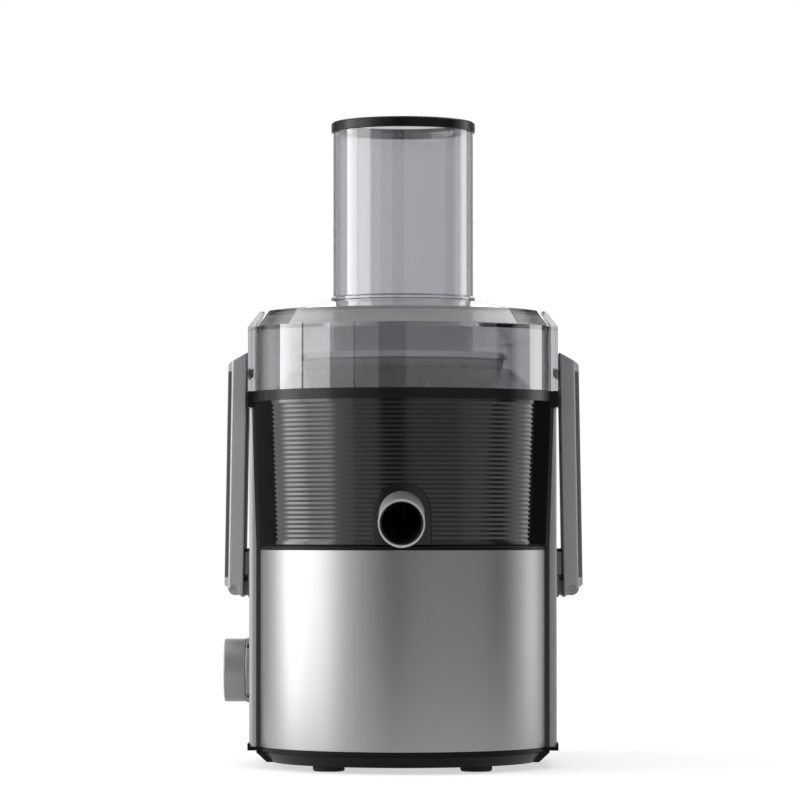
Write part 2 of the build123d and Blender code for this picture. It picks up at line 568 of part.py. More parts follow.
def drive_coupling():
    """Splined dog pressed on the top of the motor shaft."""
    coupling = disc(COUPLING_R, COUPLING_Z, SHAFT_TOP_Z)
    coupling = chamfer(coupling.edges().filter_by(at_z(SHAFT_TOP_Z)), 1.0)
    for tooth in splines(COUPLING_R, SPLINE_OUT, SPLINE_W, COUPLING_Z, SHAFT_TOP_Z - 1.5):
        coupling += tooth
    return coupling - disc(SHAFT_R, COUPLING_Z - 1, SHAFT_TOP_Z - 2)


def spinner_hub():
    """Carrier under the basket: plate, splined socket and a skirt over the bowl's chimney."""
    top = HUB_PLATE_Z + HUB_PLATE_T
    low = COUPLING_Z + 1
    hub = disc(HUB_PLATE_R, HUB_PLATE_Z, top)
    hub += ring(SKIRT_R - SKIRT_WALL, SKIRT_R, SKIRT_Z, HUB_PLATE_Z)
    hub += disc(HUB_R, low, HUB_PLATE_Z)
    hub -= disc(COUPLING_R + SPLINE_FIT, low - 1, SHAFT_TOP_Z + FIT)
    width = SPLINE_W + 2 * SPLINE_FIT
    for tooth in splines(COUPLING_R, SPLINE_OUT + SPLINE_FIT, width, low - 1, SHAFT_TOP_Z + FIT):
        hub -= tooth
    for place in rivet_places():
        hub -= place * disc(RIVET_R, HUB_PLATE_Z - 1, top + 1)
    return hub


def rivet_places():
    return [Rot(0, 0, 45 + 360 / RIVETS * i) * Pos(RIVET_PLACE_R, 0, 0) for i in range(RIVETS)]


def disc_rivets():
    """Rivets that hold disc, basket and hub together."""
    top = DISC_Z + DISC_T
    low = HUB_PLATE_Z - RIVET_HEAD_H
    rivet = disc(RIVET_R, HUB_PLATE_Z, top) + disc(RIVET_HEAD_R, low, HUB_PLATE_Z)
    rivet += Pos(0, 0, top) * Cone(RIVET_HEAD_R, RIVET_HEAD_R / 2, RIVET_HEAD_H, align=UP)
    return group([place * rivet for place in rivet_places()])


def grater_tooth():
    """One raised tooth: a sharp ramp that faces the turning direction."""
    half_w, half_l = TOOTH_W / 2, TOOTH_L / 2
    foot = -0.1
    ramp = Plane.XZ * make_face(Polyline((-half_l, foot), (half_l, foot), (half_l, TOOTH_H), close=True))
    tooth = Pos(0, half_w, 0) * extrude(ramp, TOOTH_W)
    return Rot(0, 0, 90) * tooth


def grater_disc():
    """Steel disc with teeth in swept arms, each tooth with its slot in front."""
    top = DISC_Z + DISC_T
    plate = disc(DISC_R, DISC_Z, top)
    for place in rivet_places():
        plate -= place * disc(RIVET_R, DISC_Z - 1, top + 1)
    tooth = grater_tooth()
    step = (DISC_R - RIVET_PLACE_R - 2 * TOOTH_W) / (TEETH_PER_ARM - 1)
    for arm in range(TOOTH_ARMS):
        for i in range(TEETH_PER_ARM):
            turn = 360 / TOOTH_ARMS * arm + TOOTH_SWEEP * i
            reach = RIVET_PLACE_R + RIVET_HEAD_R / 2 + TOOTH_W + step * i * 0.92
            plate += Rot(0, 0, turn) * Pos(reach, 0, top) * tooth
    return plate


def filter_basket():
    """Conical sieve: thin steel wall with rows of slots, and a turned-in foot."""
    foot, inner = DISC_Z - BASKET_T, BASKET_LOW_R - BASKET_FOOT_W
    basket = turned([
        (inner, foot), (BASKET_LOW_R + BASKET_T, foot), (BASKET_TOP_R + BASKET_T, BASKET_TOP_Z),
        (BASKET_TOP_R, BASKET_TOP_Z), (BASKET_LOW_R, DISC_Z), (inner, DISC_Z),
    ])
    span = BASKET_TOP_Z - BASKET_GRIP - DISC_Z
    first = DISC_Z + (span - (SLOT_ROWS - 1) * SLOT_PITCH) / 2
    for row in range(SLOT_ROWS):
        low = first + row * SLOT_PITCH - SLOT_H / 2
        slot = block(BASKET_LOW_R - 2, BASKET_TOP_R + 4, -SLOT_W / 2, SLOT_W / 2, low, low + SLOT_H)
        basket -= group(around(SLOTS_PER_ROW, slot, 180 / SLOTS_PER_ROW * (row % 2)))
    return basket


def basket_rim():
    """Rolled ring that grips the top edge of the sieve and flings the pulp out."""
    z0, z1 = BASKET_TOP_Z - BASKET_GRIP, BASKET_TOP_Z + BASKET_RIM_H - BASKET_GRIP
    slope = (BASKET_TOP_R - BASKET_LOW_R) / (BASKET_TOP_Z - DISC_Z + BASKET_T)
    low_r = BASKET_TOP_R + BASKET_T - slope * BASKET_GRIP
    return turned([
        (low_r, z0), (BASKET_TOP_R + BASKET_RIM_W, z0 + 1), (BASKET_TOP_R + BASKET_RIM_W, z1 - 1),
        (BASKET_TOP_R + BASKET_RIM_W - 1, z1), (BASKET_TOP_R, z1), (BASKET_TOP_R, BASKET_TOP_Z),
        (BASKET_TOP_R + BASKET_T, BASKET_TOP_Z),
    ])


# ---------------------------------------------------------------- side clamps
def arm_plan(inset=0.0):
    """Right-hand clamp cut across: flat inside, bulging outside, from the middle of its outer face."""
    half, root = ARM_W / 2 - inset, inset - ARM_T
    edge = -ARM_BULGE - inset
    back = Polyline((edge, half), (root, half), (root, -half), (edge, -half))
    plan = make_face([*back.edges(), ThreePointArc((edge, -half), (-inset, 0), (edge, half))])
    return fillet(plan.vertices(), ARM_EDGE_R)


def arm_slope():
    return (ARM_TOP_X - ARM_LOW_X) / (ARM_TOP_OUT_Z - ARM_LOW_OUT_Z)


def leaning(plan, z0, z1):
    """A plan shape of the clamp pulled up along its lean, between two heights."""
    start = Pos(ARM_LOW_X + arm_slope() * (z0 - ARM_LOW_OUT_Z), ARM_Y, z0)
    reach = (z1 - z0) * math.hypot(1, arm_slope())
    return extrude(start * plan, reach, dir=(arm_slope(), 0, 1))


def arm_ends():
    """Slanted ends of the clamp, as a mask along Y that is wider than the clamp."""
    points = []
    low_end = (ARM_LOW_X, ARM_LOW_IN_Z, ARM_LOW_OUT_Z, 1)
    top_end = (ARM_TOP_X, ARM_TOP_IN_Z, ARM_TOP_OUT_Z, -1)
    for x, inner_z, outer_z, side in (low_end, top_end):
        rise = outer_z - inner_z
        line = [(x - 2 * ARM_T, inner_z - rise), (x + ARM_T, outer_z + rise)]
        points += line[::side]
    mask = make_face(Polyline(*points, close=True))
    return Pos(0, ARM_Y + ARM_W, 0) * extrude(Plane.XZ * mask, 2 * ARM_W)


def clamp_arm():
    """Hollow grip with a bulging outer face, a hook at the top and a slot for the hinge."""
    arm = leaning(arm_plan(), ARM_LOW_IN_Z, ARM_TOP_IN_Z) & arm_ends()
    arm -= leaning(arm_plan(WALL), BRACKET_STEP_Z + GRIP_END / 2, HOOK_Z - GRIP_END)
    arm -= clamp_facing()
    arm += hook(0)
    half_slot = KNUCKLE_W / 2 + FIT
    reach = KNUCKLE_R + FIT
    x0, x1 = BODY_HALF_W + FIT, PIVOT_X + reach
    arm -= block(x0, x1, ARM_Y - half_slot, ARM_Y + half_slot, PIVOT_Z - 2 * ARM_T, PIVOT_Z + reach)
    return arm - y_rod(PIN_R, PIVOT_X, PIVOT_Z, ARM_Y - ARM_W, ARM_Y + ARM_W)


def clamp_facing():
    """Thin dark facing let into the outer face of the clamp."""
    z0, z1 = ARM_LOW_OUT_Z + FACING_END, ARM_TOP_OUT_Z - FACING_END
    half = ARM_W / 2 - FACING_EDGE
    strip = Rectangle(2 * ARM_T, 2 * half)
    skin = (arm_plan() - Pos(-FACING_T) * arm_plan()) & strip
    return leaning(skin, z0, z1)


def clamp_bracket():
    """Hinge bracket on the column: plate, gusset and the knuckle that the pin goes through."""
    x0 = BODY_HALF_W
    y0, y1 = ARM_Y - BRACKET_W / 2, ARM_Y + BRACKET_W / 2
    bracket = block(x0, x0 + BRACKET_T, y0, y1, BRACKET_LOW_Z, BRACKET_TOP_Z)
    bracket += block(x0, BRACKET_REACH, y0, y1, BRACKET_STEP_Z, BRACKET_TOP_Z)
    half = KNUCKLE_W / 2
    bracket += block(x0, PIVOT_X, ARM_Y - half, ARM_Y + half, PIVOT_Z - KNUCKLE_R, PIVOT_Z + KNUCKLE_R)
    bracket += y_rod(KNUCKLE_R, PIVOT_X, PIVOT_Z, ARM_Y - half, ARM_Y + half)
    return bracket - y_rod(PIN_R + TURN_FIT, PIVOT_X, PIVOT_Z, y0 - 1, y1 + 1)


def clamp_pin():
    """Steel hinge pin, held in the ears of the clamp."""
    half = ARM_W / 2 - 1
    return y_rod(PIN_R, PIVOT_X, PIVOT_Z, ARM_Y - half, ARM_Y + half)


# ---------------------------------------------------------------- speed dial
def dial_bezel():
    """Fixed ring round the foot of the dial."""
    x1 = -BODY_HALF_W
    bezel = x_ring(DIAL_SHAFT_R + FIT, DIAL_BASE_R, DIAL_Y, DIAL_Z, x1 - DIAL_BASE_T, x1)
    rim = bezel.edges().filter_by(GeomType.CIRCLE).sort_by(Axis.X)[0]
    return chamfer(rim, 0.5)


def dial_knob():
    """Round knob with two scoops that leave a grip bar across its face."""
    face, back = -BODY_HALF_W - DIAL_REACH, -BODY_HALF_W - DIAL_BASE_T - FIT
    knob = x_rod(DIAL_R, DIAL_Y, DIAL_Z, face, back)
    knob = fillet(knob.edges().filter_by(GeomType.CIRCLE).sort_by(Axis.X)[0], 0.8)
    scoop = Circle(DIAL_R - 2.2) - Rectangle(DIAL_GRIP_W, 3 * DIAL_R)
    scoops = Pos(face - 1, DIAL_Y, DIAL_Z) * Rot(0, 90, 0) * extrude(scoop, DIAL_SCOOP_H + 1)
    return knob - scoops - x_rod(DIAL_SHAFT_R, DIAL_Y, DIAL_Z, face + DIAL_SCOOP_H, back + 1)


def dial_pointer():
    """Inlaid index line on the grip bar."""
    face = -BODY_HALF_W - DIAL_REACH
    return block(face - 0.2, face, DIAL_Y - 0.6, DIAL_Y + 0.6, DIAL_Z + 4, DIAL_Z + DIAL_R - 2.6)


def dial_shaft():
    start = -BODY_HALF_W - DIAL_REACH + DIAL_SCOOP_H
    return x_rod(DIAL_SHAFT_R, DIAL_Y, DIAL_Z, start, start + DIAL_SHAFT_L)


def speed_switch():
    """Rotary switch behind the side wall, turned by the dial's shaft."""
    x0 = -BODY_HALF_W + WALL
    half_w, half_h = SWITCH_W / 2, SWITCH_H / 2
    y0, y1 = DIAL_Y - half_w, DIAL_Y + half_w
    switch = block(x0, x0 + SWITCH_L, y0, y1, DIAL_Z - half_h, DIAL_Z + half_h)
    for i in range(4):
        z = DIAL_Z + (i - 1.5) * 6
        switch += block(x0 + SWITCH_L, x0 + SWITCH_L + 6, DIAL_Y - 2.4, DIAL_Y + 2.4, z - 0.4, z + 0.4)
    return switch - x_rod(DIAL_SHAFT_R + FIT, DIAL_Y, DIAL_Z, x0 - 1, x0 + SWITCH_L - WALL)


# ---------------------------------------------------------------- interlock and cord gland
def interlock_plunger():
    """Pin that the bowl's rim holds down while the machine is closed."""
    top = COLUMN_TOP_Z
    low = top - PLUNGER_L
    pin = disc(PLUNGER_R, low, top)
    pin = fillet(pin.edges().filter_by(at_z(top)), 0.8)
    flange_z = COLUMN_TOP_Z - WALL - PLUNGER_TRAVEL - PLUNGER_FLANGE_T - FIT
    pin += disc(PLUNGER_FLANGE_R, flange_z, flange_z + PLUNGER_FLANGE_T)
    return Pos(INTERLOCK_X, INTERLOCK_Y) * pin


def sensor_top():
    return COLUMN_TOP_Z - PLUNGER_L + 4


def interlock_switch():
    """Microswitch in the hollow column, under the plunger."""
    z1 = sensor_top()
    z0 = z1 - SENSOR_H
    x0, y0 = INTERLOCK_X - SENSOR_L / 2, INTERLOCK_Y - SENSOR_W / 2
    switch = block(x0, x0 + SENSOR_L, y0, y0 + SENSOR_W, z0, z1)
    return switch - Pos(INTERLOCK_X, INTERLOCK_Y) * disc(PLUNGER_R + FIT, z1 - 5, z1 + 1)


def interlock_spring():
    """Return spring between the switch and the plunger's flange."""
    z0 = sensor_top() + SPRING_WIRE_R
    z1 = COLUMN_TOP_Z - WALL - PLUNGER_TRAVEL - PLUNGER_FLANGE_T - FIT - SPRING_WIRE_R
    radius = PLUNGER_R + FIT + 2 * SPRING_WIRE_R
    return Pos(INTERLOCK_X, INTERLOCK_Y, z0) * coil(radius, z1 - z0, SPRING_TURNS)


def cord_gland():
    """Strain relief at the back, with the bore that the cord comes out of."""
    y0 = BODY_REAR_Y
    gland = y_rod(GLAND_R, GLAND_X, GLAND_Z, y0 - WALL, y0)
    gland += y_rod(GLAND_FLANGE_R, GLAND_X, GLAND_Z, y0, y0 + 2)
    nose = Cone(GLAND_R, GLAND_R - 0.8, GLAND_OUT, align=UP)
    gland += Pos(GLAND_X, y0 + 2, GLAND_Z) * Rot(-90, 0, 0) * nose
    return gland - y_rod(CORD_BORE_R, GLAND_X, GLAND_Z, y0 - WALL - 1, y0 + GLAND_OUT + 3)


# ---------------------------------------------------------------- pulp container
def tub_outline():
    return Pos(0, TUB_FRONT_Y + TUB_L / 2) * RectangleRounded(2 * TUB_HALF_W, TUB_L, TUB_CORNER_R)


def pulp_container():
    """Open tub that narrows towards its foot, with a turned-out rim at the sides and back."""
    top = RIM_TOP - TUB_TOP_GAP
    outer = extrude(Pos(0, 0, top) * tub_outline(), -top, taper=TUB_DRAFT)
    outer = fillet(outer.edges().filter_by(at_z(0)), 5)
    inner = extrude(Pos(0, 0, top + 1) * offset(tub_outline(), -TUB_WALL), WALL - top - 1, taper=TUB_DRAFT)
    rim = prism(offset(tub_outline(), TUB_RIM_OUT), top - TUB_RIM_H, top)
    rim &= prism(rear_half(TUB_FRONT_Y), top - TUB_RIM_H, top)
    return outer + rim - inner


# ---------------------------------------------------------------- motor
def motor_shaft():
    return disc(SHAFT_R, SHAFT_LOW_Z, SHAFT_TOP_Z - 2)


def bearing_outer(z0):
    """The fixed part of a bearing, with its shield."""
    z1 = z0 + BEARING_H
    lip = SHAFT_R + BEARING_RACE_T + FIT
    race = ring(BEARING_R - BEARING_RACE_T, BEARING_R, z0, z1)
    for low in (z0 + SHIELD_IN, z1 - SHIELD_IN - SHIELD_T):
        race += ring(lip, BEARING_R, low, low + SHIELD_T)
    return race


def inner_races():
    """Inner races of both bearings, pressed on the shaft."""
    return group([
        ring(SHAFT_R, SHAFT_R + BEARING_RACE_T, z, z + BEARING_H) for z in (LOW_BEARING_Z, TOP_BEARING_Z)
    ])


def commutator():
    """Copper bars round an insulating core."""
    z0, z1 = COMMUTATOR_Z, COMMUTATOR_Z + COMMUTATOR_H
    body = ring(SHAFT_R, COMMUTATOR_R, z0, z1)
    gap = block(COMMUTATOR_R - 1.2, COMMUTATOR_R + 1, -0.3, 0.3, z0 - 1, z1 - 1.5)
    return body - group(around(BARS, gap))


def armature_core():
    """Stack of steel sheets with slots for the windings."""
    z0, z1 = CORE_Z, CORE_Z + CORE_H
    core = ring(SHAFT_R, ARMATURE_R, z0, z1)
    mouth = block(ARMATURE_R - SLOT_DEPTH, ARMATURE_R + 1, -SLOT_MOUTH / 2, SLOT_MOUTH / 2, z0 - 1, z1 + 1)
    return core - group(around(ARMATURE_SLOTS, mouth))


def armature_windings():
    """Copper heads above and below the core, with the runs in its slots."""
    z0, z1 = CORE_Z - WINDING_OVERHANG, CORE_Z + CORE_H + WINDING_OVERHANG
    outer = ARMATURE_R - 2
    inner = SHAFT_R + 2
    low = turned([(inner, z0 + 2), (outer - 3, z0), (outer, z0 + 3), (outer, CORE_Z), (inner, CORE_Z)])
    high = turned([
        (inner, CORE_Z + CORE_H), (outer, CORE_Z + CORE_H), (outer, z1 - 3), (outer - 3, z1), (inner, z1 - 2),
    ])
    x0, x1 = ARMATURE_R - SLOT_DEPTH, ARMATURE_R - 2
    run = block(x0, x1, -SLOT_MOUTH / 2, SLOT_MOUTH / 2, CORE_Z - 1, CORE_Z + CORE_H + 1)
    windings = low + high
    for wire in around(ARMATURE_SLOTS, run):
        windings += wire
    return windings


def cooling_fan():
    """Fan on the shaft that draws air up through the motor."""
    z0, z1 = FAN_Z, FAN_Z + FAN_H
    fan = ring(SHAFT_R, SHAFT_R + 4, z0, z1) + ring(SHAFT_R + 3, FAN_R, z1 - 1.4, z1)
    blade = block(SHAFT_R + 6, FAN_R - 1, -FAN_BLADE_T / 2, FAN_BLADE_T / 2, z0, z1 - 1)
    for part in around(FAN_BLADES, blade):
        fan += part
    return fan


def stator_core():
    """Two-pole field core with rounded corners and pole tips round the armature."""
    z0, z1 = CORE_Z, CORE_Z + CORE_H
    bore = ARMATURE_R + AIR_GAP
    yoke = RectangleRounded(STATOR_W, STATOR_D, STATOR_CORNER_R) - Circle(STATOR_WINDOW_R)
    neck = Rectangle(STATOR_W - 4, POLE_NECK_W) - Circle(bore)
    tips = Circle(bore + POLE_TIP_T) - Circle(bore)
    sides = wedge(POLE_ANGLE, bore)
    poles = (Rot(0, 0, 90) * sides & tips) + (Rot(0, 0, -90) * sides & tips)
    return prism(yoke + neck + poles, z0, z1)


def field_coils():
    """Saddle coils round the two pole necks."""
    z0, z1 = CORE_Z - COIL_OVERHANG, CORE_Z + CORE_H + COIL_OVERHANG
    inner = ARMATURE_R + AIR_GAP + POLE_TIP_T + FIT
    band = prism(Circle(STATOR_WINDOW_R - FIT) - Circle(inner), z0, z1)
    side = Rot(0, 0, 90) * wedge(POLE_ANGLE - 6, inner)
    half = POLE_NECK_W / 2 + FIT
    window = block(0, STATOR_W, -half, half, CORE_Z - FIT, CORE_Z + CORE_H + FIT)
    coil = (band & prism(side, z0, z1)) - window
    return group([coil, Rot(0, 0, 180) * coil])


def bearing_cup(z0):
    """Cup of an end frame that holds a bearing."""
    return ring(BEARING_R, BEARING_R + FRAME_T, z0, z0 + BEARING_H)


def motor_top_frame():
    """Cast end frame with the upper bearing and four lugs for the rubber mounts."""
    z0 = FRAME_Z
    plate = RectangleRounded(STATOR_W, STATOR_D, STATOR_CORNER_R) - Circle(SHAFT_R + 3)
    frame = prism(plate, z0, z0 + FRAME_T) + bearing_cup(TOP_BEARING_Z)
    window = Pos(FRAME_WINDOW_R) * SlotOverall(FRAME_WINDOW_L, FRAME_WINDOW_W, rotation=90)
    for part in around(FRAME_WINDOWS, window, 30):
        frame -= prism(part, z0 - 1, z0 + FRAME_T + 1)
    for x, y in MOUNT_PLACES:
        frame += Pos(x, y) * disc(MOUNT_R, z0, z0 + FRAME_T)
    for x, y in tie_places():
        frame += Pos(x, y) * disc(3, CORE_Z + CORE_H, z0 + FRAME_T)
    for x, y in MOUNT_PLACES:
        frame -= Pos(x, y) * disc(SCREW_R + FIT, z0 - 1, z0 + FRAME_T + 1)
    return frame


def tie_places():
    """Where the end frames stand on the field core."""
    x, y = STATOR_W / 2 - 5, STATOR_CORNER_R / 2
    return [(-x, -y), (-x, y), (x, -y), (x, y)]


def motor_bottom_frame():
    """Bridge below the armature with the lower bearing."""
    z0 = LOW_BEARING_Z
    bar = Rectangle(STATOR_W - 4, FRAME_BAR_W) + Circle(BEARING_R + FRAME_T)
    frame = prism(bar - Circle(SHAFT_R + 2), z0 + BEARING_H, z0 + BEARING_H + FRAME_T) + bearing_cup(z0)
    for x, y in tie_places():
        frame += Pos(x, y) * disc(3, z0 + BEARING_H, CORE_Z)
    return frame


def rubber_mounts():
    """Rubber bushes between the motor's lugs and the deck's bosses."""
    z0 = FRAME_Z + FRAME_T
    return group([Pos(x, y) * ring(SCREW_R + FIT, MOUNT_R + 1, z0, z0 + RUBBER_H) for x, y in MOUNT_PLACES])


def motor_screws():
    z0 = FRAME_Z
    screw = disc(SCREW_HEAD_R, z0 - SCREW_HEAD_H, z0) + disc(SCREW_R, z0, z0 + SCREW_L - 2)
    return group([Pos(x, y) * screw for x, y in MOUNT_PLACES])


def brush_holders():
    """Insulating boxes on the bottom frame that guide the brushes."""
    z0 = LOW_BEARING_Z + BEARING_H + FRAME_T
    z1 = COMMUTATOR_Z + COMMUTATOR_H / 2 + BRUSH_H / 2 + HOLDER_WALL
    x0 = COMMUTATOR_R + 2
    half = BRUSH_W / 2 + HOLDER_WALL
    holder = block(x0, x0 + HOLDER_L, -half, half, z0, z1)
    slot_z = COMMUTATOR_Z + COMMUTATOR_H / 2
    holder -= block(x0 - 1, x0 + HOLDER_L - HOLDER_WALL, -BRUSH_W / 2 - TURN_FIT, BRUSH_W / 2 + TURN_FIT,
                    slot_z - BRUSH_H / 2 - TURN_FIT, slot_z + BRUSH_H / 2 + TURN_FIT)
    return group([holder, left(holder)])


def carbon_brushes():
    slot_z = COMMUTATOR_Z + COMMUTATOR_H / 2
    x0 = COMMUTATOR_R + FIT
    brush = block(x0, x0 + BRUSH_L, -BRUSH_W / 2, BRUSH_W / 2, slot_z - BRUSH_H / 2, slot_z + BRUSH_H / 2)
    brush -= disc(COMMUTATOR_R + FIT, 0, COLLAR_TOP)
    return group([brush, left(brush)])


def brush_springs():
    """Springs that press the brushes on the commutator."""
    x0 = COMMUTATOR_R + FIT + BRUSH_L
    x1 = COMMUTATOR_R + 2 + HOLDER_L - HOLDER_WALL
    z = COMMUTATOR_Z + COMMUTATOR_H / 2
    length = x1 - x0 - 2 * SPRING_WIRE_R
    spring = Pos(x0 + SPRING_WIRE_R, 0, z) * Rot(0, 90, 0) * coil(BRUSH_SPRING_R, length, BRUSH_SPRING_TURNS)
    return group([spring, left(spring)])


# ---------------------------------------------------------------- export
SUBPARTS = {
    "base_pan": base_pan,
    "rubber_feet": rubber_feet,
    "base_screws": base_screws,
    "motor_housing": motor_housing,
    "steel_front_panel": steel_front_panel,
    "front_trim_strip": front_trim_strip,
    "right_clamp_bracket": clamp_bracket,
    "left_clamp_bracket": lambda: left(clamp_bracket()),
    "right_clamp_pin": clamp_pin,
    "left_clamp_pin": lambda: left(clamp_pin()),
    "dial_bezel": dial_bezel,
    "speed_switch": speed_switch,
    "cord_gland": cord_gland,
    "interlock_switch": interlock_switch,
    "interlock_spring": interlock_spring,
    "interlock_plunger": interlock_plunger,
    "shaft_seal": shaft_seal,
    "motor_top_frame": motor_top_frame,
    "motor_bottom_frame": motor_bottom_frame,
    "stator_core": stator_core,
    "field_coils": field_coils,
    "upper_bearing": lambda: bearing_outer(TOP_BEARING_Z),
    "lower_bearing": lambda: bearing_outer(LOW_BEARING_Z),
    "rubber_mounts": rubber_mounts,
    "motor_screws": motor_screws,
    "brush_holders": brush_holders,
    "carbon_brushes": carbon_brushes,
    "brush_springs": brush_springs,
    "motor_shaft": motor_shaft,
    "bearing_inner_races": inner_races,
    "commutator": commutator,
    "armature_core": armature_core,
    "armature_windings": armature_windings,
    "cooling_fan": cooling_fan,
    "drive_coupling": drive_coupling,
    "spinner_hub": spinner_hub,
    "grater_disc": grater_disc,
    "disc_rivets": disc_rivets,
    "filter_basket": filter_basket,
    "basket_rim": basket_rim,
    "juice_bowl": juice_bowl,
    "bowl_rim": bowl_rim,
    "bowl_front_panel": bowl_front_panel,
    "spout_surround": spout_surround,
    "spout_nozzle": spout_nozzle,
    "spout_ring": spout_ring,
    "bowl_seal": bowl_seal,
    "splash_ring": splash_ring,
    "cover_shell": cover_shell,
    "feed_tube": feed_tube,
    "feed_tube_ring": feed_tube_ring,
    "right_clamp_arm": clamp_arm,
    "left_clamp_arm": lambda: left(clamp_arm()),
    "right_clamp_facing": clamp_facing,
    "left_clamp_facing": lambda: left(clamp_facing()),
    "dial_knob": dial_knob,
    "dial_pointer": dial_pointer,
    "dial_shaft": dial_shaft,
    "pulp_container": pulp_container,
}


def main():
    """Writes one file per sub-part, moved from the spindle axis to the frame's origin."""
    os.makedirs("parts", exist_ok=True)
    for name, make in SUBPARTS.items():
        export_step(Pos(0, SPINDLE_Y, 0) * make(), f"parts/{name}.step")


if __name__ == "__main__":
    main()
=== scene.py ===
"""Finishes, lettering and studio for a centrifugal juicer, laid out as a Blender add-on."""
import math

import bmesh
import bpy
from mathutils import Matrix, Vector


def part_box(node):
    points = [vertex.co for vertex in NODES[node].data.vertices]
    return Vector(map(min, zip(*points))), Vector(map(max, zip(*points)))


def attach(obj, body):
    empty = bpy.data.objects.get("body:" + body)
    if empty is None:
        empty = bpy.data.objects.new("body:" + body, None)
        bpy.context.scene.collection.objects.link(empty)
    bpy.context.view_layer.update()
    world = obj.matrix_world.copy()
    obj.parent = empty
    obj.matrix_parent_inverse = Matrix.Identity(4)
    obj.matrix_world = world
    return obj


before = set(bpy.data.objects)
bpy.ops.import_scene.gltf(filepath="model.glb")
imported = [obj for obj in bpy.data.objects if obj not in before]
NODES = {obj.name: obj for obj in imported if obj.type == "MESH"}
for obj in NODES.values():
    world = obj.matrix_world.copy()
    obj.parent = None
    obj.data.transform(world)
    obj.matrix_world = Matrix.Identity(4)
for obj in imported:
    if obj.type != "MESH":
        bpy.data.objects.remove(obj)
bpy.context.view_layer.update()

bl_info = {
    "name": "Centrifugal juicer looks",
    "version": (1, 0, 0),
    "blender": (4, 5, 0),
    "location": "View3D > Sidebar > Juicer",
    "description": "Finishes, dial marks and studio for the centrifugal juicer",
    "category": "3D View",
}

MM = 0.001
WHITE = (1.0, 1.0, 1.0, 1.0)

# sockets of a Mix node, by number because their names repeat
COLOUR_RESULT, COLOUR_A, COLOUR_B = 2, 6, 7
VECTOR_RESULT, VECTOR_A, VECTOR_B = 1, 4, 5


def middle(node):
    """The centre of a CAD node's box."""
    low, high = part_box(node)
    return (low + high) / 2


SPINDLE = middle("feed_tube")


# ---------------------------------------------------------------- sizes of the details

# the black seam of the housing beside the steel: height in millimetres, and half width there
SEAM = ((128.0, 83.5), (208.0, 86.2))
SEAM_FRONT = 17.0 * MM           # it lies further ahead of the spindle than this
KNUCKLE_LOW_Z = 123.0 * MM       # the knuckles of the hinge brackets are above this

SPOUT_TILT = math.radians(15)
NOZZLE_PLATE_R = 12.2 * MM       # the plating starts this far from the spout's axis
RING_PLATE_R = 12.1 * MM

# the ribs of the housing behind the clamps, beside the hinges
RIB_INNER_X, RIB_OUTER_X = 87.6 * MM, 93.0 * MM
RIB_LOW_Z, RIB_TOP_Z = 104.0 * MM, 113.0 * MM
RIB_THICKNESS = 2.4 * MM
RIB_EDGE = 0.7 * MM
RIB_TO_ARM = 0.6 * MM

# the screws of the dial's ring, in degrees up from straight ahead
BEZEL_SCREWS = (("upper_bezel_screw", 48), ("lower_bezel_screw", -50))
BEZEL_SCREW_R = 1.3 * MM

# the dial's marks, in degrees from the top, the way that the dial turns
DIAL_MARKS = (("•", -45), ("0", 0), ("1", 45), ("2", 90))


# ---------------------------------------------------------------- shader building

class Signal:
    """One value in a shader. Arithmetic on it adds Math nodes."""

    def __init__(self, board, socket):
        self.board = board
        self.socket = socket

    def __add__(self, other):
        return self.board.number("ADD", self, other)

    def __radd__(self, other):
        return self.board.number("ADD", other, self)

    def __sub__(self, other):
        return self.board.number("SUBTRACT", self, other)

    def __rsub__(self, other):
        return self.board.number("SUBTRACT", other, self)

    def __mul__(self, other):
        return self.board.number("MULTIPLY", self, other)

    def __rmul__(self, other):
        return self.board.number("MULTIPLY", other, self)

    def __truediv__(self, other):
        return self.board.number("DIVIDE", self, other)

    def __rtruediv__(self, other):
        return self.board.number("DIVIDE", other, self)

    def __mod__(self, other):
        return self.board.number("FLOORED_MODULO", self, other)

    def __rmod__(self, other):
        return self.board.number("FLOORED_MODULO", other, self)

    def __gt__(self, other):
        return self.board.number("GREATER_THAN", self, other)

    def __lt__(self, other):
        return self.board.number("LESS_THAN", self, other)


class Made:
    """A node that has been added. Its outputs are read by name or number."""

    def __init__(self, board, node):
        self.board = board
        self.node = node

    def __getitem__(self, key):
        return Signal(self.board, self.node.outputs[key])


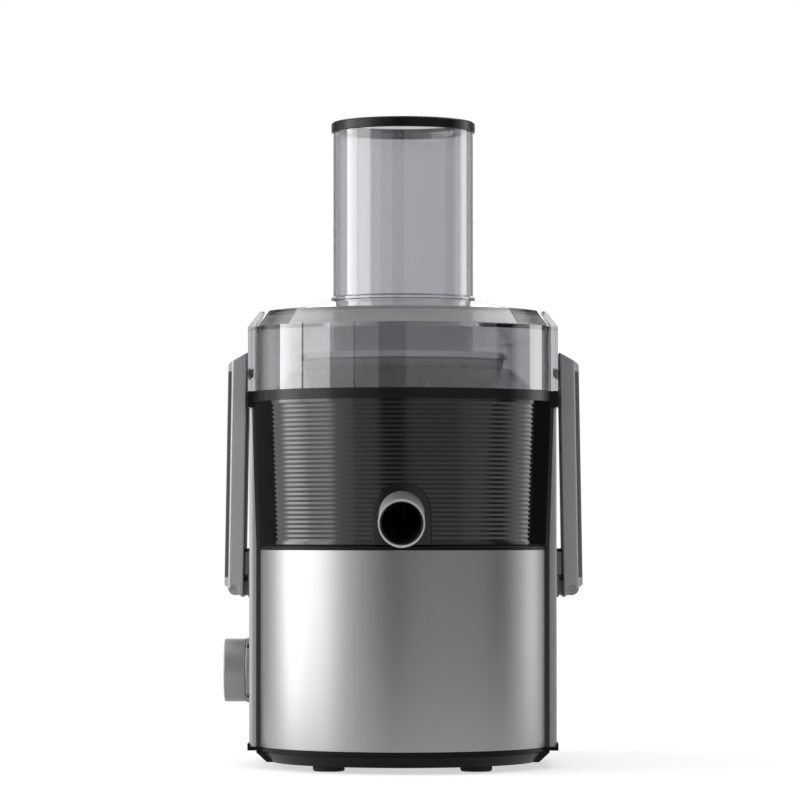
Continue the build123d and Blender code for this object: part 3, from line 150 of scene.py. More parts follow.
class Board:
    """A node tree that is being filled."""

    def __init__(self, tree):
        self.tree = tree
        tree.nodes.clear()

    def node(self, kind, settings=None, inputs=None):
        """Adds a node of that kind, with its settings, then its socket values or links."""
        added = self.tree.nodes.new(kind)
        for name, value in (settings or {}).items():
            if name == "stops":
                while len(added.color_ramp.elements) < len(value):
                    added.color_ramp.elements.new(0.5)
                for element, (position, grey) in zip(added.color_ramp.elements, value):
                    element.position = position
                    element.color = (grey, grey, grey, 1.0)
            else:
                setattr(added, name, value)
        for key, value in (inputs or {}).items():
            socket = added.inputs[key]
            if isinstance(value, Signal):
                self.tree.links.new(value.socket, socket)
            else:
                socket.default_value = value
        return Made(self, added)

    def number(self, operation, *values):
        """What a Math node makes of some numbers."""
        return self.node("ShaderNodeMath", {"operation": operation},
                         dict(enumerate(values)))["Value"]

    def vector(self, operation, *values):
        """What a Vector Math node makes of some vectors: a vector, or a number for a length."""
        result = "Value" if operation == "LENGTH" else "Vector"
        return self.node("ShaderNodeVectorMath", {"operation": operation},
                         dict(enumerate(values)))[result]

    def parts(self, vector):
        """The three numbers of a vector."""
        split = self.node("ShaderNodeSeparateXYZ", {}, {0: vector})
        return split["X"], split["Y"], split["Z"]

    def join(self, x=0.0, y=0.0, z=0.0):
        """A vector of three numbers."""
        return self.node("ShaderNodeCombineXYZ", {}, {"X": x, "Y": y, "Z": z})["Vector"]

    def curve(self, value, *stops):
        """Value bent through grey stops of (position, level)."""
        return self.node("ShaderNodeValToRGB", {"stops": stops}, {"Fac": value})["Color"]

    def most(self, first, *others):
        """The largest of some values."""
        for other in others:
            first = self.number("MAXIMUM", first, other)
        return first

    def blend(self, share, first, second):
        """A shader that goes from the first to the second as share goes from 0 to 1."""
        return self.node("ShaderNodeMixShader", {}, {0: share, 1: first, 2: second})["Shader"]


def socket_name(key):
    """The name of a surface's socket: base_color stands for Base Color, and so on."""
    return key.replace("_", " ").title().replace("Ior", "IOR")


class Finish(Board):
    """A material with one Principled surface, and the patterns that its maker uses."""

    def __init__(self, name, **sockets):
        self.material = bpy.data.materials.new(name)
        self.material.use_nodes = True
        super().__init__(self.material.node_tree)
        self.surface = self.node("ShaderNodeBsdfPrincipled")
        self.set(**sockets)
        self.output = self.node("ShaderNodeOutputMaterial", {}, {"Surface": self.surface["BSDF"]})
        self.here = self.node("ShaderNodeTexCoord")["Object"]

    def set(self, **sockets):
        """Sets or links the surface's sockets."""
        for key, value in sockets.items():
            socket = self.surface.node.inputs[socket_name(key)]
            if isinstance(value, Signal):
                self.tree.links.new(value.socket, socket)
            elif hasattr(value, "__len__") and len(value) == 3:
                socket.default_value = (*value, 1.0)
            else:
                socket.default_value = value

    def over(self, share, **sockets):
        """Lays a second plain surface over the first one, where share is 1."""
        second = self.node("ShaderNodeBsdfPrincipled", {},
                           {socket_name(key): value for key, value in sockets.items()})["BSDF"]
        mixed = self.blend(share, self.surface["BSDF"], second)
        self.tree.links.new(mixed.socket, self.output.node.inputs["Surface"])

    def stretch(self, cells, point=None):
        """The place on the piece in pattern cells, with so many to the millimetre on each axis."""
        along = cells if isinstance(cells, tuple) else (cells, cells, cells)
        return self.vector("MULTIPLY", point or self.here, tuple(share / MM for share in along))

    def speckle(self, cells, detail, roughness, point=None):
        """Smooth random values from 0 to 1, about one cell across."""
        return self.node("ShaderNodeTexNoise", {"noise_dimensions": "3D"},
                         {"Vector": self.stretch(cells, point), "Scale": 1.0,
                          "Detail": detail, "Roughness": roughness})["Fac"]

    def round_spindle(self):
        """Distance from the spindle, angle round it in turns, and height."""
        x, y, z = self.parts(self.vector("SUBTRACT", self.here, tuple(SPINDLE)))
        reach = self.vector("LENGTH", self.join(x, y))
        return reach, self.number("ARCTAN2", y, x) / math.tau, z

    def between(self, low, high, value):
        """A number from low to high as value goes from 0 to 1."""
        return low + (high - low) * value

    def shade(self, value, dark, light):
        """A colour from dark to light as value goes from 0 to 1. Either may be a pattern."""
        ends = [end if isinstance(end, Signal) else (*end, 1.0) for end in (dark, light)]
        return self.node("ShaderNodeMix", {"data_type": "RGBA"},
                         {0: value, COLOUR_A: ends[0], COLOUR_B: ends[1]})[COLOUR_RESULT]

    def lean(self, share, first, second):
        """A direction that goes from the first to the second as share goes from 0 to 1."""
        mixed = self.node("ShaderNodeMix", {"data_type": "VECTOR"},
                          {0: share, VECTOR_A: first, VECTOR_B: second})[VECTOR_RESULT]
        return self.vector("NORMALIZE", mixed)

    def soft_edges(self, radius):
        """Surface directions with the corners eased by that many millimetres."""
        return self.node("ShaderNodeBevel", {"samples": 6}, {"Radius": radius * MM})["Normal"]

    def relief(self, height, depth, under=None):
        """Surface directions of a relief that is depth millimetres from 0 to 1."""
        inputs = {"Height": height, "Strength": 1.0, "Distance": depth * MM}
        if under is not None:
            inputs["Normal"] = under
        return self.node("ShaderNodeBump", {}, inputs)["Normal"]


def tinted(colour, share):
    """A colour made darker or lighter."""
    return tuple(min(1.0, part * share) for part in colour)


# ---------------------------------------------------------------- finishes

def moulded(name, colour, roughness, grain, depth=0.006, edge=0.35, **extra):
    """Injection-moulded plastic: fine spark grain, faint flow marks and worn-soft corners."""
    finish = Finish(name, **extra)
    spark = finish.speckle(1 / grain, 3.0, 0.6)
    flow = finish.speckle((0.02, 0.02, 0.035), 3.0, 0.55)
    wear = flow * 0.6 + spark * 0.4
    finish.set(base_color=finish.shade(flow, tinted(colour, 0.86), tinted(colour, 1.12)),
               roughness=finish.between(roughness - 0.05, roughness + 0.07, wear),
               normal=finish.relief(spark, depth, finish.soft_edges(edge)))
    return finish.material


def satin_metallic(colours, name="satin_metallic_grey", tone=1.0, bare=None, metallic=0.55):
    """Metallic grey lacquer on black plastic: flakes and a soft sheen.

    bare makes the mask of what the lacquer leaves off.
    """
    finish = Finish(name, coat_weight=0.05, coat_roughness=0.3)
    flakes = finish.speckle(5.5, 2.0, 0.5)
    cloud = finish.speckle((0.018, 0.018, 0.03), 3.0, 0.5)
    glint = finish.curve(flakes, (0.35, 0.0), (0.7, 1.0))
    colour = finish.shade(glint * 0.6 + cloud * 0.4, tinted(colours.grey_paint, 0.85 * tone),
                          tinted(colours.grey_paint, 1.18 * tone))
    if bare:
        plain = bare(finish)
        colour = finish.shade(plain, colour, colours.satin_black)
        metallic = finish.between(metallic, 0.0, plain)
    finish.set(base_color=colour, metallic=metallic,
               roughness=finish.between(0.40, 0.52, cloud * 0.5 + flakes * 0.5),
               normal=finish.relief(flakes, 0.0015, finish.soft_edges(0.5)))
    return finish.material


def beside_steel(finish):
    """The front of the housing next to the steel, which widens towards the bowl."""
    tall, wide = 250.0, 100.0    # millimetres that stand for 1 on the curve
    x, y, z = finish.parts(finish.here)
    stops = [(height / tall, half / wide) for height, half in SEAM]
    reach = finish.curve(z / (tall * MM), *stops) * (wide * MM)
    side = finish.number("ABSOLUTE", x - SPINDLE.x)
    return (side < reach) * (y < SPINDLE.y - SEAM_FRONT)


def above_hinge(finish):
    """The knuckle of a hinge bracket."""
    return finish.parts(finish.here)[2] > KNUCKLE_LOW_Z


def ribbed_gloss(colours):
    """Glossy black ribs, softened as the mould left them, between two dull upright strips."""
    finish = Finish("gloss_black_ribs", coat_weight=0.12, coat_roughness=0.08)
    x, y, _ = finish.parts(finish.here)
    outward = finish.vector("NORMALIZE", finish.join(x - SPINDLE.x, y - SPINDLE.y))
    # the sine of the angle from straight ahead, on either side
    aside = finish.number("ABSOLUTE", finish.parts(outward)[0])
    strip = finish.curve(aside, (0.838, 0.0), (0.85, 1.0))
    softness = finish.curve(aside, (0.35, 0.8), (0.62, 0.45))
    surface = finish.node("ShaderNodeNewGeometry")["Normal"]
    cloud = finish.speckle((0.03, 0.03, 0.05), 3.0, 0.5)
    spark = finish.speckle(0.8, 3.0, 0.6)
    black = colours.gloss_black
    finish.set(base_color=finish.shade(cloud, tinted(black, 0.8), tinted(black, 1.3)),
               roughness=finish.between(0.13, 0.21, cloud * 0.5 + spark * 0.5),
               normal=finish.relief(spark, 0.0015, finish.lean(softness, surface, outward)))
    finish.over(strip, base_color=(*black, 1.0), roughness=0.45, specular_ior_level=0.04,
                normal=finish.lean(0.55, outward, finish.join(y=-1.0)))
    return finish.material


def brushed_upright(colours):
    """Sheet steel brushed upright, so that its highlights spread sideways."""
    finish = Finish("steel_brushed_upright", metallic=1.0, anisotropic=0.55)
    strokes = finish.speckle((9.0, 9.0, 0.05), 4.0, 0.65)
    coarse = finish.speckle((1.6, 1.6, 0.012), 3.0, 0.6)
    hand = finish.speckle((0.02, 0.02, 0.012), 2.0, 0.5)
    grain = strokes * 0.6 + coarse * 0.4
    finish.set(base_color=finish.shade(grain, tinted(colours.steel, 0.86),
                                       tinted(colours.steel, 1.1)),
               roughness=finish.between(0.24, 0.40, grain * 0.7 + hand * 0.3),
               normal=finish.relief(grain, 0.004, finish.soft_edges(0.3)))
    return finish.material


def turned(name, colour, roughness, rings):
    """Metal finished on a lathe or spun: rings round the spindle, so many to the millimetre."""
    finish = Finish(name, metallic=1.0, anisotropic=0.4)
    reach, angle, height = finish.round_spindle()
    lines = finish.speckle((rings, 1.0, rings), 4.0, 0.7, finish.join(reach, angle * MM, height))
    smear = finish.speckle(0.08, 2.0, 0.5)
    wear = lines * 0.6 + smear * 0.4
    finish.set(base_color=finish.shade(lines, tinted(colour, 0.85), tinted(colour, 1.1)),
               roughness=finish.between(roughness - 0.06, roughness + 0.1, wear),
               normal=finish.relief(lines, 0.003, finish.soft_edges(0.15)))
    return finish.material


def clear_plastic(name, tint, haze, polish=1.0, bloom=0.05):
    """Clear moulded plastic: a smoke tint painted darker at grazing angles as shade for the dark
    refracted edges of its walls, flow waves and wiping scratches.
    """
    finish = Finish(name, transmission_weight=1.0, ior=1.49,
                    coat_weight=polish, coat_roughness=bloom)
    wipes = finish.speckle((0.9, 0.9, 0.06), 4.0, 0.7)
    marks = finish.curve(wipes, (0.58, 0.0), (0.72, 1.0))
    waves = finish.speckle((0.03, 0.03, 0.045), 1.0, 0.4)
    grazing = finish.node("ShaderNodeLayerWeight", {}, {"Blend": 0.5})["Facing"]
    # painted shade: the base colour darkens towards grazing angles, standing in for the dark
    # refracted edges of the clear walls
    depth = finish.curve(grazing, (0.0, 0.0), (0.5, 0.1), (0.72, 0.6), (0.9, 1.0))
    finish.set(base_color=finish.shade(depth, tint, tinted(tint, 0.35)),
               roughness=finish.between(haze, haze + 0.05, marks),
               normal=finish.relief(waves, 0.05, finish.soft_edges(0.5)))
    return finish.material


def sieve_steel(colours):
    """Satin sheet that is etched full of fine holes, painted lighter than the other bright steel.
    """
    around = 360    # holes in one turn
    finish = Finish("sieve_steel", metallic=0.7)
    _, angle, height = finish.round_spindle()
    mesh = finish.node("ShaderNodeTexVoronoi", {"feature": "F1"}, {
        "Vector": finish.stretch((0.0, around * MM, 1.1), finish.join(0.0, angle, height)),
        "Scale": 1.0, "Randomness": 0.12})["Distance"]
    holes = finish.curve(mesh, (0.28, 0.0), (0.42, 1.0))
    cloud = finish.speckle(0.08, 2.0, 0.5)
    # painted light: the sheet is lighter than the bright steel of the other parts, standing in for
    # the lamp light that the clear cover keeps off it
    sheet = finish.shade(cloud, tinted(colours.bright_steel, 1.05),
                         tinted(colours.bright_steel, 1.25))
    finish.set(base_color=finish.shade(holes, (0.34, 0.34, 0.35), sheet),
               roughness=finish.between(0.42, 0.56, cloud),
               normal=finish.relief(holes, 0.05))
    return finish.material


def polish_marks(finish, colour):
    """Hairline polishing marks, and the colour of the metal that has them."""
    hairs = finish.speckle((2.5, 0.2, 2.5), 4.0, 0.7)
    cloud = finish.speckle(0.1, 2.0, 0.5)
    return hairs, finish.shade(cloud, tinted(colour, 0.92), tinted(colour, 1.05))


def polished(name, colour, roughness):
    """Bright plated metal with hairline polishing marks."""
    finish = Finish(name, metallic=1.0)
    hairs, metal = polish_marks(finish, colour)
    finish.set(base_color=metal,
               roughness=finish.between(roughness, roughness + 0.12, hairs),
               normal=finish.relief(hairs, 0.0015, finish.soft_edges(0.25)))
    return finish.material


def plated_outside(name, colour, roughness, inside, radius):
    """A black spout that is plated where it lies further than radius from its axis."""
    finish = Finish(name)
    x, y, z = finish.parts(finish.here)
    mouth = middle("spout_ring")
    drop = (mouth.y - y) * math.tan(SPOUT_TILT)
    reach = finish.vector("LENGTH", finish.join(x - mouth.x, 0.0, z - mouth.z + drop))
    plate = reach > radius
    hairs, metal = polish_marks(finish, colour)
    finish.set(base_color=finish.shade(plate, inside, metal),
               metallic=plate,
               roughness=finish.between(roughness, roughness + 0.12, hairs),
               normal=finish.relief(hairs, 0.0015, finish.soft_edges(0.2)))
    return finish.material


def rubbery(colours):
    """Matt rubber with a dusty bloom."""
    finish = Finish("black_rubber", specular_ior_level=0.35)
    grain = finish.speckle(3.0, 4.0, 0.7)
    bloom = finish.speckle(0.12, 3.0, 0.6)
    finish.set(base_color=finish.shade(bloom, tinted(colours.rubber, 0.8),
                                       tinted(colours.rubber, 1.9)),
               roughness=finish.between(0.7, 0.92, grain),
               normal=finish.relief(grain, 0.012, finish.soft_edges(0.3)))
    return finish.material


def laminated(colours):
    """Stacked half-millimetre sheets with a thin oxide film."""
    finish = Finish("core_sheets", metallic=0.9)
    height = finish.parts(finish.stretch(2.0))[2]
    sheet = finish.curve(height % 1.0, (0.0, 0.0), (0.18, 1.0), (0.82, 1.0), (1.0, 0.0))
    film = finish.speckle(0.3, 3.0, 0.6)
    finish.set(base_color=finish.shade(film * 0.5 + sheet * 0.5, tinted(colours.core, 0.5),
                                       colours.core),
               roughness=finish.between(0.45, 0.62, film),
               normal=finish.relief(sheet, 0.05))
    return finish.material


def wound(name, colours, across):
    """Enamelled copper wire laid side by side, across the spindle or along it."""
    finish = Finish(name, metallic=0.85, coat_weight=0.6, coat_roughness=0.15)
    x, y, z = finish.parts(finish.stretch(2.2))
    run = x + y * 0.35 if across else z + x * 0.3
    wire = finish.curve(run % 1.0, (0.0, 0.0), (0.5, 1.0), (1.0, 0.0))
    cloud = finish.speckle(0.25, 3.0, 0.6)
    # painted shade: each wire is lighter along its crest and darker towards its flanks, the shade
    # of the grooves between wires
    finish.set(base_color=finish.shade(cloud * 0.4 + wire * 0.6, tinted(colours.copper, 0.45),
                                       colours.copper),
               roughness=finish.between(0.28, 0.4, cloud),
               normal=finish.relief(wire, 0.12))
    return finish.material


def commutator_bars(colours):
    """Copper bars parted by thin insulation, with a brush track round the middle."""
    bars = 24
    finish = Finish("commutator_bars", metallic=1.0)
    angle = finish.round_spindle()[1]
    slit = finish.curve(angle * bars % 1.0, (0.0, 0.0), (0.07, 1.0), (0.93, 1.0), (1.0, 0.0))
    track = finish.speckle((0.2, 0.2, 6.0), 3.0, 0.6)
    finish.set(base_color=finish.shade(slit, (0.02, 0.016, 0.012), colours.copper),
               roughness=finish.between(0.25, 0.5, track),
               normal=finish.relief(slit, 0.15))
    return finish.material


def pressed_carbon(colours):
    """Brush carbon: grey-black grains with a few bright specks."""
    finish = Finish("brush_carbon")
    grain = finish.speckle(4.0, 4.0, 0.8)
    specks = finish.curve(grain, (0.6, 0.0), (0.75, 1.0))
    finish.set(base_color=finish.shade(specks, colours.rubber, (0.12, 0.12, 0.125)),
               roughness=finish.between(0.5, 0.8, grain),
               normal=finish.relief(grain, 0.01))
    return finish.material


def dial_paint(colours):
    """Pad-printed paint: slightly uneven cover."""
    finish = Finish("dial_paint")
    cover = finish.speckle(3.0, 3.0, 0.6)
    finish.set(base_color=finish.shade(cover, tinted(colours.marking, 0.88), colours.marking),
               roughness=finish.between(0.4, 0.6, cover),
               normal=finish.relief(cover, 0.004))
    return finish.material


def known(name, maker, colours):
    """The material of that name, made once."""
    return bpy.data.materials.get(name) or maker(colours)


def give(material, *nodes):
    """Puts a material in every slot of the named CAD nodes."""
    for name in nodes:
        mesh = NODES[name].data
        for index in range(len(mesh.materials)):
            mesh.materials[index] = material


# ---------------------------------------------------------------- small shapes

def add_piece(name, shape, material, body):
    """Turns a finished shape into a piece that rides on body."""
    mesh = bpy.data.meshes.new(name)
    shape.to_mesh(mesh)
    shape.free()
    mesh.materials.append(material)
    piece = bpy.data.objects.new(name, mesh)
    bpy.context.scene.collection.objects.link(piece)
    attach(piece, body)


def screw_head(name, body, seat, axis, radius, material):
    """A small tapered screw head with a sunk socket. It stands on seat and faces along axis."""
    shape = bmesh.new()
    bmesh.ops.create_cone(shape, cap_ends=True, segments=24, radius1=radius,
                          radius2=radius * 0.8, depth=radius * 0.6)
    top = max(shape.faces, key=lambda face: face.calc_center_median().z)
    bmesh.ops.inset_region(shape, faces=[top], thickness=radius * 0.3, use_even_offset=True)
    bmesh.ops.inset_region(shape, faces=[top], thickness=radius * 0.06, depth=-radius * 0.35)
    facing = axis.to_track_quat("Z", "X").to_matrix().to_4x4()
    shape.transform(Matrix.Translation(seat + axis * radius * 0.32) @ facing)
    add_piece(name, shape, material, body)


def pad(name, body, low, high, ease, material):
    """A small block between two corners, in metres, with rounded edges. It rides on body."""
    shape = bmesh.new()
    bmesh.ops.create_cube(shape, size=1.0)
    for vert in shape.verts:
        vert.co = Vector(a + (b - a) * (share + 0.5) for a, b, share in zip(low, high, vert.co))
    bmesh.ops.bevel(shape, geom=shape.edges[:], offset=ease, segments=3, profile=0.5,
                    affect="EDGES")
    add_piece(name, shape, material, body)


def hinge_rib(side, sign, material):
    """The housing's rib behind a clamp, which closes the view past its hinge."""
    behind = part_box(f"{side}_clamp_arm")[1].y + RIB_TO_ARM
    left, right = sorted((sign * RIB_INNER_X, sign * RIB_OUTER_X))
    pad(f"{side}_hinge_rib", "motor_base", (left, behind, RIB_LOW_Z),
        (right, behind + RIB_THICKNESS, RIB_TOP_Z), RIB_EDGE, material)


# ---------------------------------------------------------------- sizes and colours

def colour_property(name, description, default):
    return bpy.props.FloatVectorProperty(name=name, description=description, default=default,
                                         subtype="COLOR", size=3, min=0.0, max=1.0)


def length_property(name, description, default):
    return bpy.props.FloatProperty(name=name, description=description, default=default,
                                   unit="LENGTH")


def angle_property(name, description, degrees):
    return bpy.props.FloatProperty(name=name, description=description,
                                   default=math.radians(degrees), unit="ROTATION")


def share_property(name, description, default):
    return bpy.props.FloatProperty(name=name, description=description, default=default,
                                   subtype="FACTOR", min=0.0, max=1.0)


class JuicerColours(bpy.types.PropertyGroup):
    """Colours of the juicer's materials."""

    grey_paint: colour_property("Grey paint", "Lacquer of the columns, clamps and dial",
                                (0.30, 0.30, 0.31))
    gloss_black: colour_property("Gloss black", "Bowl front and tube ring",
                                 (0.003, 0.003, 0.003))
    satin_black: colour_property("Satin black", "Base pan, bowl and trim",
                                 (0.006, 0.006, 0.007))
    steel: colour_property("Steel", "Brushed front", (0.295, 0.295, 0.30))
    bright_steel: colour_property("Bright steel", "Basket, disc and screws", (0.70, 0.70, 0.71))
    plated: colour_property("Plated metal", "Spout and its ring", (0.76, 0.76, 0.77))
    smoke: colour_property("Cover tint", "Clear plastic of the cover", (0.48, 0.48, 0.50))
    tube_smoke: colour_property("Tube tint", "Clear plastic of the feed tube",
                                (0.60, 0.59, 0.62))
    rubber: colour_property("Rubber", "Feet, seals and strain relief", (0.020, 0.020, 0.020))
    core: colour_property("Core sheets", "Motor laminations", (0.22, 0.22, 0.24))
    copper: colour_property("Copper", "Windings and commutator", (0.66, 0.28, 0.12))
    tub: colour_property("Pulp container", "Dark plastic of the container",
                         (0.035, 0.035, 0.038))
    marking: colour_property("Marks", "Dial marks and pointer", (0.80, 0.80, 0.80))


class JuicerMarks(bpy.types.PropertyGroup):
    """Sizes of the marks round the dial."""

    height: length_property("Figure height", "Height of the dial figures", 5.5 * MM)
    gap: length_property("Gap", "From the dial's ring to the figures' middle", 5.5 * MM)
    thickness: length_property("Paint thickness", "How far the paint stands out", 0.06 * MM)


class JuicerStage(bpy.types.PropertyGroup):
    """Camera and lamps."""

    distance: length_property("Camera distance", "From the camera to the spindle", 2.386)
    eye_height: length_property("Camera height", "Above the worktop", 0.135)
    turn: angle_property("Camera turn", "How far round to the right it stands", 0.5)
    tilt: angle_property("Camera tilt", "How far it looks up", 1.81)
    pan: angle_property("Camera pan", "How far it looks left of the spindle", 0.044)
    lens: bpy.props.FloatProperty(name="Lens", description="Focal length in millimetres",
                                  default=186.75, unit="CAMERA")
    power: bpy.props.FloatProperty(name="Lamp power", description="Share of every lamp's power",
                                   default=1.0, min=0.0)
    room: share_property("Room light", "Level of the even light on matt surfaces", 0.45)
    mirrored_room: share_property("Mirrored room", "Level of the room in shiny surfaces", 0.05)


# ---------------------------------------------------------------- operators

class Dress:
    """What the operators that finish a group of nodes share."""

    bl_options = {"REGISTER", "UNDO"}

    def execute(self, context):
        self.dress(context.scene.juicer_colours)
        return {"FINISHED"}


class JUICER_OT_base(Dress, bpy.types.Operator):
    """Finish the base: housing, steel front, brackets, pan, trim and feet, and add its ribs"""

    bl_idname = "juicer.base"
    bl_label = "Base"

    def dress(self, colours):
        give(satin_metallic(colours, "housing_grey_and_black", 0.72, beside_steel, 0.2),
             "motor_housing")
        give(satin_metallic(colours, "bracket_grey_and_black", 0.9, above_hinge),
             "right_clamp_bracket", "left_clamp_bracket")
        give(brushed_upright(colours), "steel_front_panel")
        give(moulded("pan_plastic", tinted(colours.satin_black, 0.7), 0.34, 0.7, 0.004,
                     specular_ior_level=0.08), "base_pan", "front_trim_strip")
        give(known("black_rubber", rubbery, colours), "rubber_feet", "cord_gland", "shaft_seal")
        paint = known("satin_metallic_grey", satin_metallic, colours)
        hinge_rib("right", 1, paint)
        hinge_rib("left", -1, paint)
        give(turned("screw_steel", colours.bright_steel, 0.32, 3.0), "base_screws")


class JUICER_OT_motor(Dress, bpy.types.Operator):
    """Finish the motor: frames, core, coils, brushes, bearings, rotor and fan"""

    bl_idname = "juicer.motor"
    bl_label = "Motor"

    def dress(self, colours):
        give(polished("pressed_steel", tinted(colours.bright_steel, 0.7), 0.38),
             "motor_top_frame", "motor_bottom_frame")
        give(laminated(colours), "stator_core", "armature_core")
        give(wound("field_wire", colours, True), "field_coils")
        give(wound("armature_wire", colours, False), "armature_windings")
        give(commutator_bars(colours), "commutator")
        give(pressed_carbon(colours), "carbon_brushes")
        give(turned("ground_steel", colours.bright_steel, 0.22, 6.0), "motor_shaft",
             "upper_bearing", "lower_bearing", "bearing_inner_races", "motor_screws",
             "brush_springs")
        give(moulded("brown_insulator", (0.10, 0.035, 0.015), 0.5, 0.5), "brush_holders")
        give(moulded("fan_plastic", (0.24, 0.24, 0.23), 0.45, 0.5), "cooling_fan")
        give(moulded("drive_plastic", tinted(colours.satin_black, 1.6), 0.38, 0.5),
             "drive_coupling")
        give(known("black_rubber", rubbery, colours), "rubber_mounts")


class JUICER_OT_spinner(Dress, bpy.types.Operator):
    """Finish the spinner: hub, grater disc, rivets, sieve and its rim"""

    bl_idname = "juicer.spinner"
    bl_label = "Spinner"

    def dress(self, colours):
        give(moulded("hub_plastic", tinted(colours.satin_black, 1.4), 0.4, 0.6), "spinner_hub")
        give(turned("spun_steel", colours.bright_steel, 0.24, 5.0), "grater_disc")
        give(sieve_steel(colours), "filter_basket")
        give(turned("rolled_rim_steel", colours.bright_steel, 0.14, 2.0),
             "basket_rim", "disc_rivets")


class JUICER_OT_bowl(Dress, bpy.types.Operator):
    """Finish the bowl: shell, ribbed front, spout, seal and splash ring"""

    bl_idname = "juicer.bowl"
    bl_label = "Bowl"

    def dress(self, colours):
        give(moulded("bowl_plastic", colours.satin_black, 0.24, 0.6, 0.004,
                     specular_ior_level=0.16), "juice_bowl", "bowl_rim")
        give(ribbed_gloss(colours), "bowl_front_panel")
        give(moulded("surround_gloss", colours.gloss_black, 0.2, 1.2, 0.0015, 0.3),
             "spout_surround")
        give(plated_outside("satin_spout", tinted(colours.plated, 0.6), 0.4,
                            colours.gloss_black, NOZZLE_PLATE_R), "spout_nozzle")
        give(plated_outside("bright_ring", colours.plated, 0.3,
                            colours.gloss_black, RING_PLATE_R), "spout_ring")
        give(known("black_rubber", rubbery, colours), "bowl_seal")
        give(clear_plastic("splash_ring_clear", (0.86, 0.86, 0.87), 0.02, polish=0.0),
             "splash_ring")


class JUICER_OT_cover(Dress, bpy.types.Operator):
    """Finish the cover, the feed tube and the tube's ring"""

    bl_idname = "juicer.cover"
    bl_label = "Cover and tube"

    def dress(self, colours):
        give(clear_plastic("cover_clear", colours.smoke, 0.02), "cover_shell")
        give(clear_plastic("tube_clear", colours.tube_smoke, 0.04, bloom=0.16), "feed_tube")
        give(moulded("ring_plastic", colours.gloss_black, 0.26, 0.8, 0.003,
                     specular_ior_level=0.2), "feed_tube_ring")


class JUICER_OT_clamps(Dress, bpy.types.Operator):
    """Finish the two clamps, their pins and their facing strips"""

    bl_idname = "juicer.clamps"
    bl_label = "Clamps"

    def dress(self, colours):
        give(known("satin_metallic_grey", satin_metallic, colours),
             "right_clamp_arm", "left_clamp_arm", "right_clamp_pin", "left_clamp_pin")
        # dark plastic inlays, whose dark colour also stands as painted shade for the clamp sides
        # that turn away from the light
        give(moulded("facing_plastic_with_painted_shade", tinted(colours.satin_black, 1.6), 0.36, 0.5),
             "right_clamp_facing", "left_clamp_facing")


class JUICER_OT_dial(Dress, bpy.types.Operator):
    """Finish the dial, its ring, shaft and pointer, and add the ring's screws"""

    bl_idname = "juicer.dial"
    bl_label = "Dial"

    def dress(self, colours):
        # painted shade: the dial and its ring take a darker copy of the grey paint, against the
        # extra light of the left key lamp
        give(satin_metallic(colours, "dial_grey_painted_darker", 0.72), "dial_knob", "dial_bezel")
        give(known("dial_paint", dial_paint, colours), "dial_pointer")
        give(polished("dial_shaft_steel", colours.bright_steel, 0.3), "dial_shaft")
        black = turned("blackened_screws", (0.05, 0.05, 0.055), 0.3, 3.0)
        low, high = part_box("dial_bezel")
        reach = (high.z - low.z) / 2
        for name, degrees in BEZEL_SCREWS:
            turn = math.radians(degrees)
            axis = Vector((0, -math.cos(turn), math.sin(turn)))
            seat = middle("dial_bezel") + axis * reach
            screw_head(name, "motor_base", seat, axis, BEZEL_SCREW_R, black)


class JUICER_OT_controls(Dress, bpy.types.Operator):
    """Finish the speed switch, the safety switch, its plunger and spring"""

    bl_idname = "juicer.controls"
    bl_label = "Switches"

    def dress(self, colours):
        give(moulded("switch_plastic", tinted(colours.satin_black, 1.8), 0.5, 0.5),
             "speed_switch", "interlock_switch", "interlock_plunger")
        give(polished("spring_steel", colours.bright_steel, 0.3), "interlock_spring")


class JUICER_OT_tub(Dress, bpy.types.Operator):
    """Finish the pulp container"""

    bl_idname = "juicer.tub"
    bl_label = "Pulp container"

    def dress(self, colours):
        give(moulded("tub_plastic", colours.tub, 0.38, 0.6), "pulp_container")


class JUICER_OT_marks(bpy.types.Operator):
    """Print the figures and the pulse dot round the dial"""

    bl_idname = "juicer.marks"
    bl_label = "Dial marks"
    bl_options = {"REGISTER", "UNDO"}

    def execute(self, context):
        marks = context.scene.juicer_marks
        paint = known("dial_paint", dial_paint, context.scene.juicer_colours)
        low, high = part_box("dial_bezel")
        centre = middle("dial_bezel")
        reach = (high.z - low.z) / 2 + marks.gap
        facing = Matrix(((0, 0, -1), (-1, 0, 0), (0, 1, 0))).to_4x4()    # upright, facing -X
        for body, degrees in DIAL_MARKS:
            turn = math.radians(degrees)
            spot = Vector((high.x, centre.y + reach * math.sin(turn),
                           centre.z + reach * math.cos(turn)))
            figure = bpy.data.curves.new(f"dial_mark_{degrees + 45}", "FONT")
            figure.body = body
            figure.size = marks.height
            figure.extrude = marks.thickness
            figure.align_x = "CENTER"
            figure.align_y = "CENTER"
            figure.materials.append(paint)
            piece = bpy.data.objects.new(figure.name, figure)
            context.scene.collection.objects.link(piece)
            piece.matrix_world = Matrix.Translation(spot) @ facing
            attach(piece, "motor_base")
        return {"FINISHED"}


# ---------------------------------------------------------------- studio

# name, brightness, width and height in metres, degrees to the right of the front, lift, distance
SOFTBOXES = (
    ("left_key", 5.2, 0.42, 1.2, -91, 0.1, 1.0),
    ("left_wide", 4.0, 0.44, 1.2, -66, 0.1, 1.05),
    ("left_front", 1.1, 0.36, 1.2, -45, 0.1, 1.1),
    ("left_middle", 0.6, 0.34, 1.2, -26, 0.1, 1.1),
    ("right_front", 0.42, 1.56, 1.2, 38, 0.1, 1.1),
    ("right_key", 1.8, 0.36, 1.2, 118, 0.1, 1.1),
    ("overhead", 1.8, 3.0, 1.5, 180, 1.4, 0.1),
    ("behind", 2.2, 1.2, 0.45, 180, 0.55, 1.3),
)
AIM_HEIGHT = 0.19          # the lamps look at the spindle there
WORKTOP_RADIUS = 1.6
WORKTOP_GLOW = 0.6         # share of its own light, where it is seen


